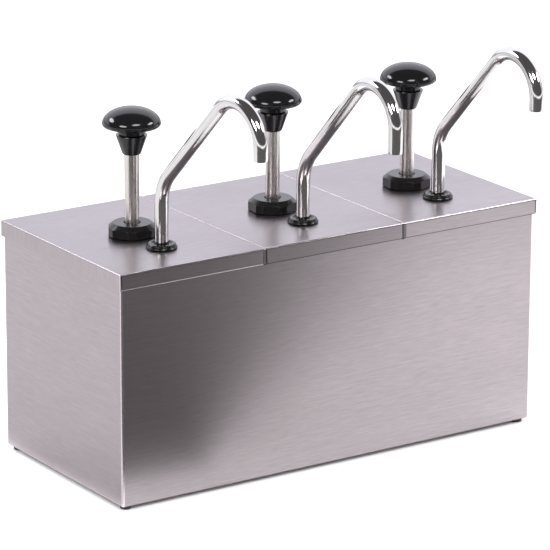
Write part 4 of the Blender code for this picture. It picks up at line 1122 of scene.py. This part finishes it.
# ---- Stage ----
def aim(obj, target, roll=0.0):
    """Turns an object so that its -Z axis points at the target."""
    away = (Vector(target) - obj.location).to_track_quat("-Z", "Y")
    obj.rotation_mode = "QUATERNION"
    obj.rotation_quaternion = away @ Matrix.Rotation(roll, 4, "Z").to_quaternion()


def softbox(name, place, target, size, radiance):
    """An elliptical light; its power is radiance x pi x area."""
    data = bpy.data.lights.new(name, "AREA")
    data.shape = "ELLIPSE"
    data.size, data.size_y = size
    data.energy = radiance * math.pi * math.pi / 4 * size[0] * size[1]
    light = bpy.data.objects.new(name, data)
    bpy.context.scene.collection.objects.link(light)
    light.location = place
    light.visible_camera = False
    aim(light, target)
    return light


class DISPENSER_OT_stage(bpy.types.Operator):
    """Set the camera, the pale floor and the soft lights"""

    bl_idname = "dispenser.stage"
    bl_label = "Stage"

    def execute(self, context):
        scene = context.scene
        stage = scene.dispenser_stage
        scene.view_settings.view_transform = "Standard"

        data = bpy.data.cameras.new("camera")
        data.lens = stage.lens
        data.sensor_width = 36.0
        data.clip_start, data.clip_end = 0.05, 60.0
        camera = bpy.data.objects.new("camera", data)
        scene.collection.objects.link(camera)
        camera.location = stage.camera_place
        aim(camera, stage.camera_target, stage.camera_roll)
        scene.camera = camera

        floor_size = 14.0
        floor_points = np.array([(-1, -1, 0), (1, -1, 0), (1, 1, 0), (-1, 1, 0)]) * floor_size
        floor_mesh = bpy.data.meshes.new("floor")
        floor_mesh.from_pydata(floor_points.tolist(), [], [(0, 1, 2, 3)])
        floor = bpy.data.objects.new("floor", floor_mesh)
        scene.collection.objects.link(floor)
        material, tree, shader = start_material("pale_floor", roughness=0.9, specular_ior_level=0.1)
        place = add_node(tree, "ShaderNodeTexCoord").outputs["Object"]
        clouds = stretched_noise(tree, place, (1.5, 1.5, 1.5), 2.0)
        tone = tuple(stage.floor_colour)
        shade = shade_mix(tree, between(tree, clouds, 0.0, 1.0), tuple(c * 0.995 for c in tone), tone)
        tree.links.new(shade, shader.inputs["Base Color"])
        floor_mesh.materials.append(material)

        world = bpy.data.worlds.new("studio")
        scene.world = world
        world.use_nodes = True
        nodes = world.node_tree
        # A bright backdrop stands behind the object and leans over it; the rest of the room is dim.
        # A direction d is on the backdrop where d . backdrop is above 0, and near the horizon the
        # backdrop is in shade.
        backdrop = (0.44, 0.70, -0.56)
        facing = add_node(nodes, "ShaderNodeTexCoord").outputs["Generated"]
        behind = add_node(nodes, "ShaderNodeVectorMath", {0: facing, 1: backdrop}, operation="DOT_PRODUCT")
        height = add_node(nodes, "ShaderNodeSeparateXYZ", {"Vector": facing}).outputs["Z"]
        lit = between(nodes, height, 0.3, 1.0, (0.06, 0.15))
        there = between(nodes, behind.outputs["Value"], 0.0, 1.0, (-0.04, 0.06))
        share = add_node(nodes, "ShaderNodeMath", {0: there, 1: lit}, operation="MULTIPLY")
        front, back = tuple(stage.world_front), tuple(stage.world_back)
        shade = shade_mix(nodes, share.outputs["Value"], front, back)
        background = nodes.nodes["Background"]
        nodes.links.new(shade, background.inputs["Color"])
        background.inputs["Strength"].default_value = 1.0

        # Cloths laid out on the floor, seen in reflections only: dark in front, pale to the right,
        # grey to the left and dark grey behind.
        cloths = {
            "dark_cloth": (
                (0.05, 0.045, 0.044),
                [(-3, -3), (2.97, -3), (0.34, -0.512), (-3, -0.512), (-3, -0.512), (0.34, -0.512)]
                + [(-0.10, -0.12), (-3, -0.12), (0.72, -0.86), (2.97, -3), (4, -3), (4, -0.86)],
            ),
            "pale_cloth": ((0.77, 0.76, 0.76), [(-0.08, -0.12), (0.71, -0.86), (4, -0.86), (4, -0.13)]),
            "grey_cloth": ((0.54, 0.53, 0.53), [(-3, -0.115), (-0.24, -0.115), (-0.24, 3), (-3, 3)]),
            "back_cloth": ((0.22, 0.20, 0.20), [(-0.24, 0.5), (4, 0.5), (4, 3), (-0.24, 3)]),
        }
        for name, (tone, plan) in cloths.items():
            plan = np.array(plan)
            points = np.concatenate([plan, np.full((len(plan), 1), 1 * MM)], axis=1)
            mesh = bpy.data.meshes.new(name)
            mesh.from_pydata(points.tolist(), [], np.arange(len(plan)).reshape(-1, 4).tolist())
            mesh.materials.append(moulded(name, tone, 0.9, 0.05, 400.0, 0.1))
            cloth = bpy.data.objects.new(name, mesh)
            scene.collection.objects.link(cloth)
            for kind in ("camera", "diffuse", "shadow", "transmission", "volume_scatter"):
                setattr(cloth, "visible_" + kind, False)

        sky = bpy.data.lights.new("overhead", "SUN")
        sky.energy = stage.key_light
        sky.angle = math.radians(150)
        key = bpy.data.objects.new("overhead", sky)
        scene.collection.objects.link(key)
        key.location = (0.0, 0.0, 2.5)
        key.visible_glossy = False
        # Four lamps stand round the object, by bearing from its front and height, in degrees.
        lamps = ((-140.0, 37.0), (-70.0, 28.0), (-15.0, 46.0), (55.0, 32.0))
        middle, distance, size = Vector((0.0, 0.0, 0.2)), 2.2, (1.0, 0.5)
        for number, degrees in enumerate(lamps, 1):
            bearing, height = (math.radians(value) for value in degrees)
            across, ahead = math.sin(bearing) * math.cos(height), math.cos(bearing) * math.cos(height)
            way = Vector((across, -ahead, math.sin(height)))
            softbox(f"lamp_{number}", middle + way * distance, middle, size, stage.front_lamps)
        return {"FINISHED"}


# ---- Settings ----
def length(name, description, millimetres):
    """A length setting."""
    return bpy.props.FloatProperty(
        name=name, description=description, default=millimetres * MM, unit="LENGTH", precision=5
    )


def factor(name, description, value):
    """A setting from 0 to 1."""
    return bpy.props.FloatProperty(
        name=name, description=description, default=value, min=0, max=1, subtype="FACTOR"
    )


def colour(name, description, value):
    """A colour setting."""
    return bpy.props.FloatVectorProperty(
        name=name, description=description, subtype="COLOR", size=3, default=value
    )


class SheetSizes(bpy.types.PropertyGroup):
    """Sizes of the folded sheet pieces"""

    housing_sheet: length("Housing sheet", "Thickness of the housing's sheet", 1.2)
    housing_bend: length("Housing bend", "Outside radius of the level bends", 2.0)
    housing_corner: length("Housing corner", "Outside radius of the upright bends", 2.5)
    top_lip: length("Top lip", "Inward fold along the top edge", 5.0)
    bottom_flange: length("Bottom flange", "Inward fold under the base plate", 16.0)
    notch: length("Notch", "Width of the notch for two side flanges", 4.2)
    notch_drop: length("Notch drop", "Bottom of a notch below the lids' flanges", 1.0)
    lid_sheet: length("Lid sheet", "Thickness of a lid's sheet", 1.0)
    lid_bend: length("Lid bend", "Outside radius of a lid's bends", 1.3)
    edge_roll: length("Edge roll", "How far the first lid's lower edge is rolled in", 0.55)
    springback: length("Springback", "How far the second lid's end flanges lean", 0.6)
    relief: length("Relief slot", "Slot beside a side flange", 0.8)
    neck_hole: length("Neck hole", "Radius of the hole for the pump's neck", 13.5)
    tube_hole: length("Tube hole", "Radius of the hole for the grommet", 9.5)
    jar_wall: length("Jar wall", "Thickness of a jar's wall", 1.0)
    jar_rim: length("Jar rim", "Width and height of a jar's rim", 3.0)


class PumpSizes(bpy.types.PropertyGroup):
    """Sizes of the turned and bent pieces"""

    knob_neck: length("Knob neck", "Height of the neck under the rim", 7.1)
    knob_neck_radius: length("Knob neck radius", "Radius of the neck", 11.8)
    knob_rim: length("Knob rim", "Rim below the widest ring", 2.8)
    knob_seam: length("Knob seam", "Depth of the fine moulding seam", 0.25)
    collar_foot_radius: length("Collar foot", "Radius of the collar's foot", 8.7)
    rod_radius: length("Rod radius", "Radius of the plunger rod", 6.75)
    nut_flats: length("Nut flats", "Hand nut across its flats", 43.0)
    nut_top_radius: length("Nut top", "Radius of the nut's flat top", 18.0)
    nut_chamfer: length("Nut chamfer", "Height of the turned chamfer", 3.9)
    tube_radius: length("Tube radius", "Outside radius of the bent tube", 6.35)
    tube_wall: length("Tube wall", "Wall of the bent tube", 0.9)


class FinishSettings(bpy.types.PropertyGroup):
    """Colours and gloss of the finishes"""

    sheet_colour: colour("Sheet", "Brushed stainless", (0.475, 0.430, 0.452))
    sheet_roughness: factor("Sheet roughness", "Mean roughness", 0.30)
    sheet_anisotropy: factor("Sheet anisotropy", "Smear across the grain", 0.6)
    grain_depth: factor("Grain", "Strength of the grain's bump", 0.015)
    polished_colour: colour("Polished", "Polished stainless", (0.80, 0.79, 0.79))
    polished_roughness: factor("Polished roughness", "Mean roughness", 0.09)
    rod_colour: colour("Rod", "Satin stainless", (0.80, 0.755, 0.735))
    rod_roughness: factor("Rod roughness", "Mean roughness", 0.27)
    knob_colour: colour("Knob", "Black phenolic", (0.006, 0.006, 0.007))
    knob_roughness: factor("Knob roughness", "Mean roughness", 0.12)
    nut_colour: colour("Nut", "Black nylon", (0.008, 0.0075, 0.008))
    nut_roughness: factor("Nut roughness", "Mean roughness", 0.18)
    rubber_colour: colour("Rubber", "Black rubber", (0.03, 0.03, 0.03))
    acetal_colour: colour("Acetal", "White acetal", (0.78, 0.78, 0.75))


class StageSettings(bpy.types.PropertyGroup):
    """Camera, floor and surroundings"""

    lens: bpy.props.FloatProperty(name="Lens", description="Focal length in millimetres", default=250.8)
    camera_place: bpy.props.FloatVectorProperty(
        name="Camera", description="Place of the camera", subtype="XYZ", size=3, unit="LENGTH",
        default=(-1.91231, -2.80563, 1.20317),
    )
    camera_target: bpy.props.FloatVectorProperty(
        name="Target", description="Point at the middle of the view", subtype="XYZ", size=3, unit="LENGTH",
        default=(0.00354, 0.05011, 0.15801),
    )
    camera_roll: bpy.props.FloatProperty(
        name="Roll", description="Tilt of the camera about its view", default=math.radians(0.27),
        subtype="ANGLE",
    )
    key_light: bpy.props.FloatProperty(
        name="Key light", description="Strength of the overhead light", default=3.35
    )
    front_lamps: bpy.props.FloatProperty(
        name="Front lamps", description="Radiance of the four lamps", default=10.0
    )
    floor_colour: colour("Floor", "Pale floor", (0.9, 0.9, 0.9))
    world_front: colour("Front of the room", "Dim side of the room", (0.09, 0.085, 0.085))
    world_back: colour("Back of the room", "Bright side of the room", (1.2, 1.21, 1.31))


OPERATORS = (
    DISPENSER_OT_housing,
    DISPENSER_OT_lids,
    DISPENSER_OT_knobs,
    DISPENSER_OT_rods,
    DISPENSER_OT_nuts,
    DISPENSER_OT_grommets,
    DISPENSER_OT_spouts,
    DISPENSER_OT_jars,
    DISPENSER_OT_inner_pump,
    DISPENSER_OT_feet,
    DISPENSER_OT_frame_finishes,
    DISPENSER_OT_stage,
)
SETTINGS = {
    "dispenser_sheet": SheetSizes,
    "dispenser_pump": PumpSizes,
    "dispenser_finish": FinishSettings,
    "dispenser_stage": StageSettings,
}


class DISPENSER_PT_panel(bpy.types.Panel):
    """Settings and steps of the dispenser"""

    bl_idname = "DISPENSER_PT_panel"
    bl_label = "Dispenser"
    bl_space_type = "VIEW_3D"
    bl_region_type = "UI"
    bl_category = "Dispenser"

    def draw(self, context):
        layout = self.layout
        for holder, kind in SETTINGS.items():
            box = layout.box()
            box.label(text=kind.__doc__)
            for key in kind.__annotations__:
                box.prop(getattr(context.scene, holder), key)
        for operator in OPERATORS:
            layout.operator(operator.bl_idname)


def register():
    for kind in (*SETTINGS.values(), *OPERATORS, DISPENSER_PT_panel):
        bpy.utils.register_class(kind)
    for holder, kind in SETTINGS.items():
        setattr(bpy.types.Scene, holder, bpy.props.PointerProperty(type=kind))


def unregister():
    for holder in SETTINGS:
        delattr(bpy.types.Scene, holder)
    for kind in reversed((*SETTINGS.values(), *OPERATORS, DISPENSER_PT_panel)):
        bpy.utils.unregister_class(kind)


def main():
    register()
    for operator in OPERATORS:
        group, name = operator.bl_idname.split(".")
        getattr(getattr(bpy.ops, group), name)()


if __name__ == "__main__":
    main()
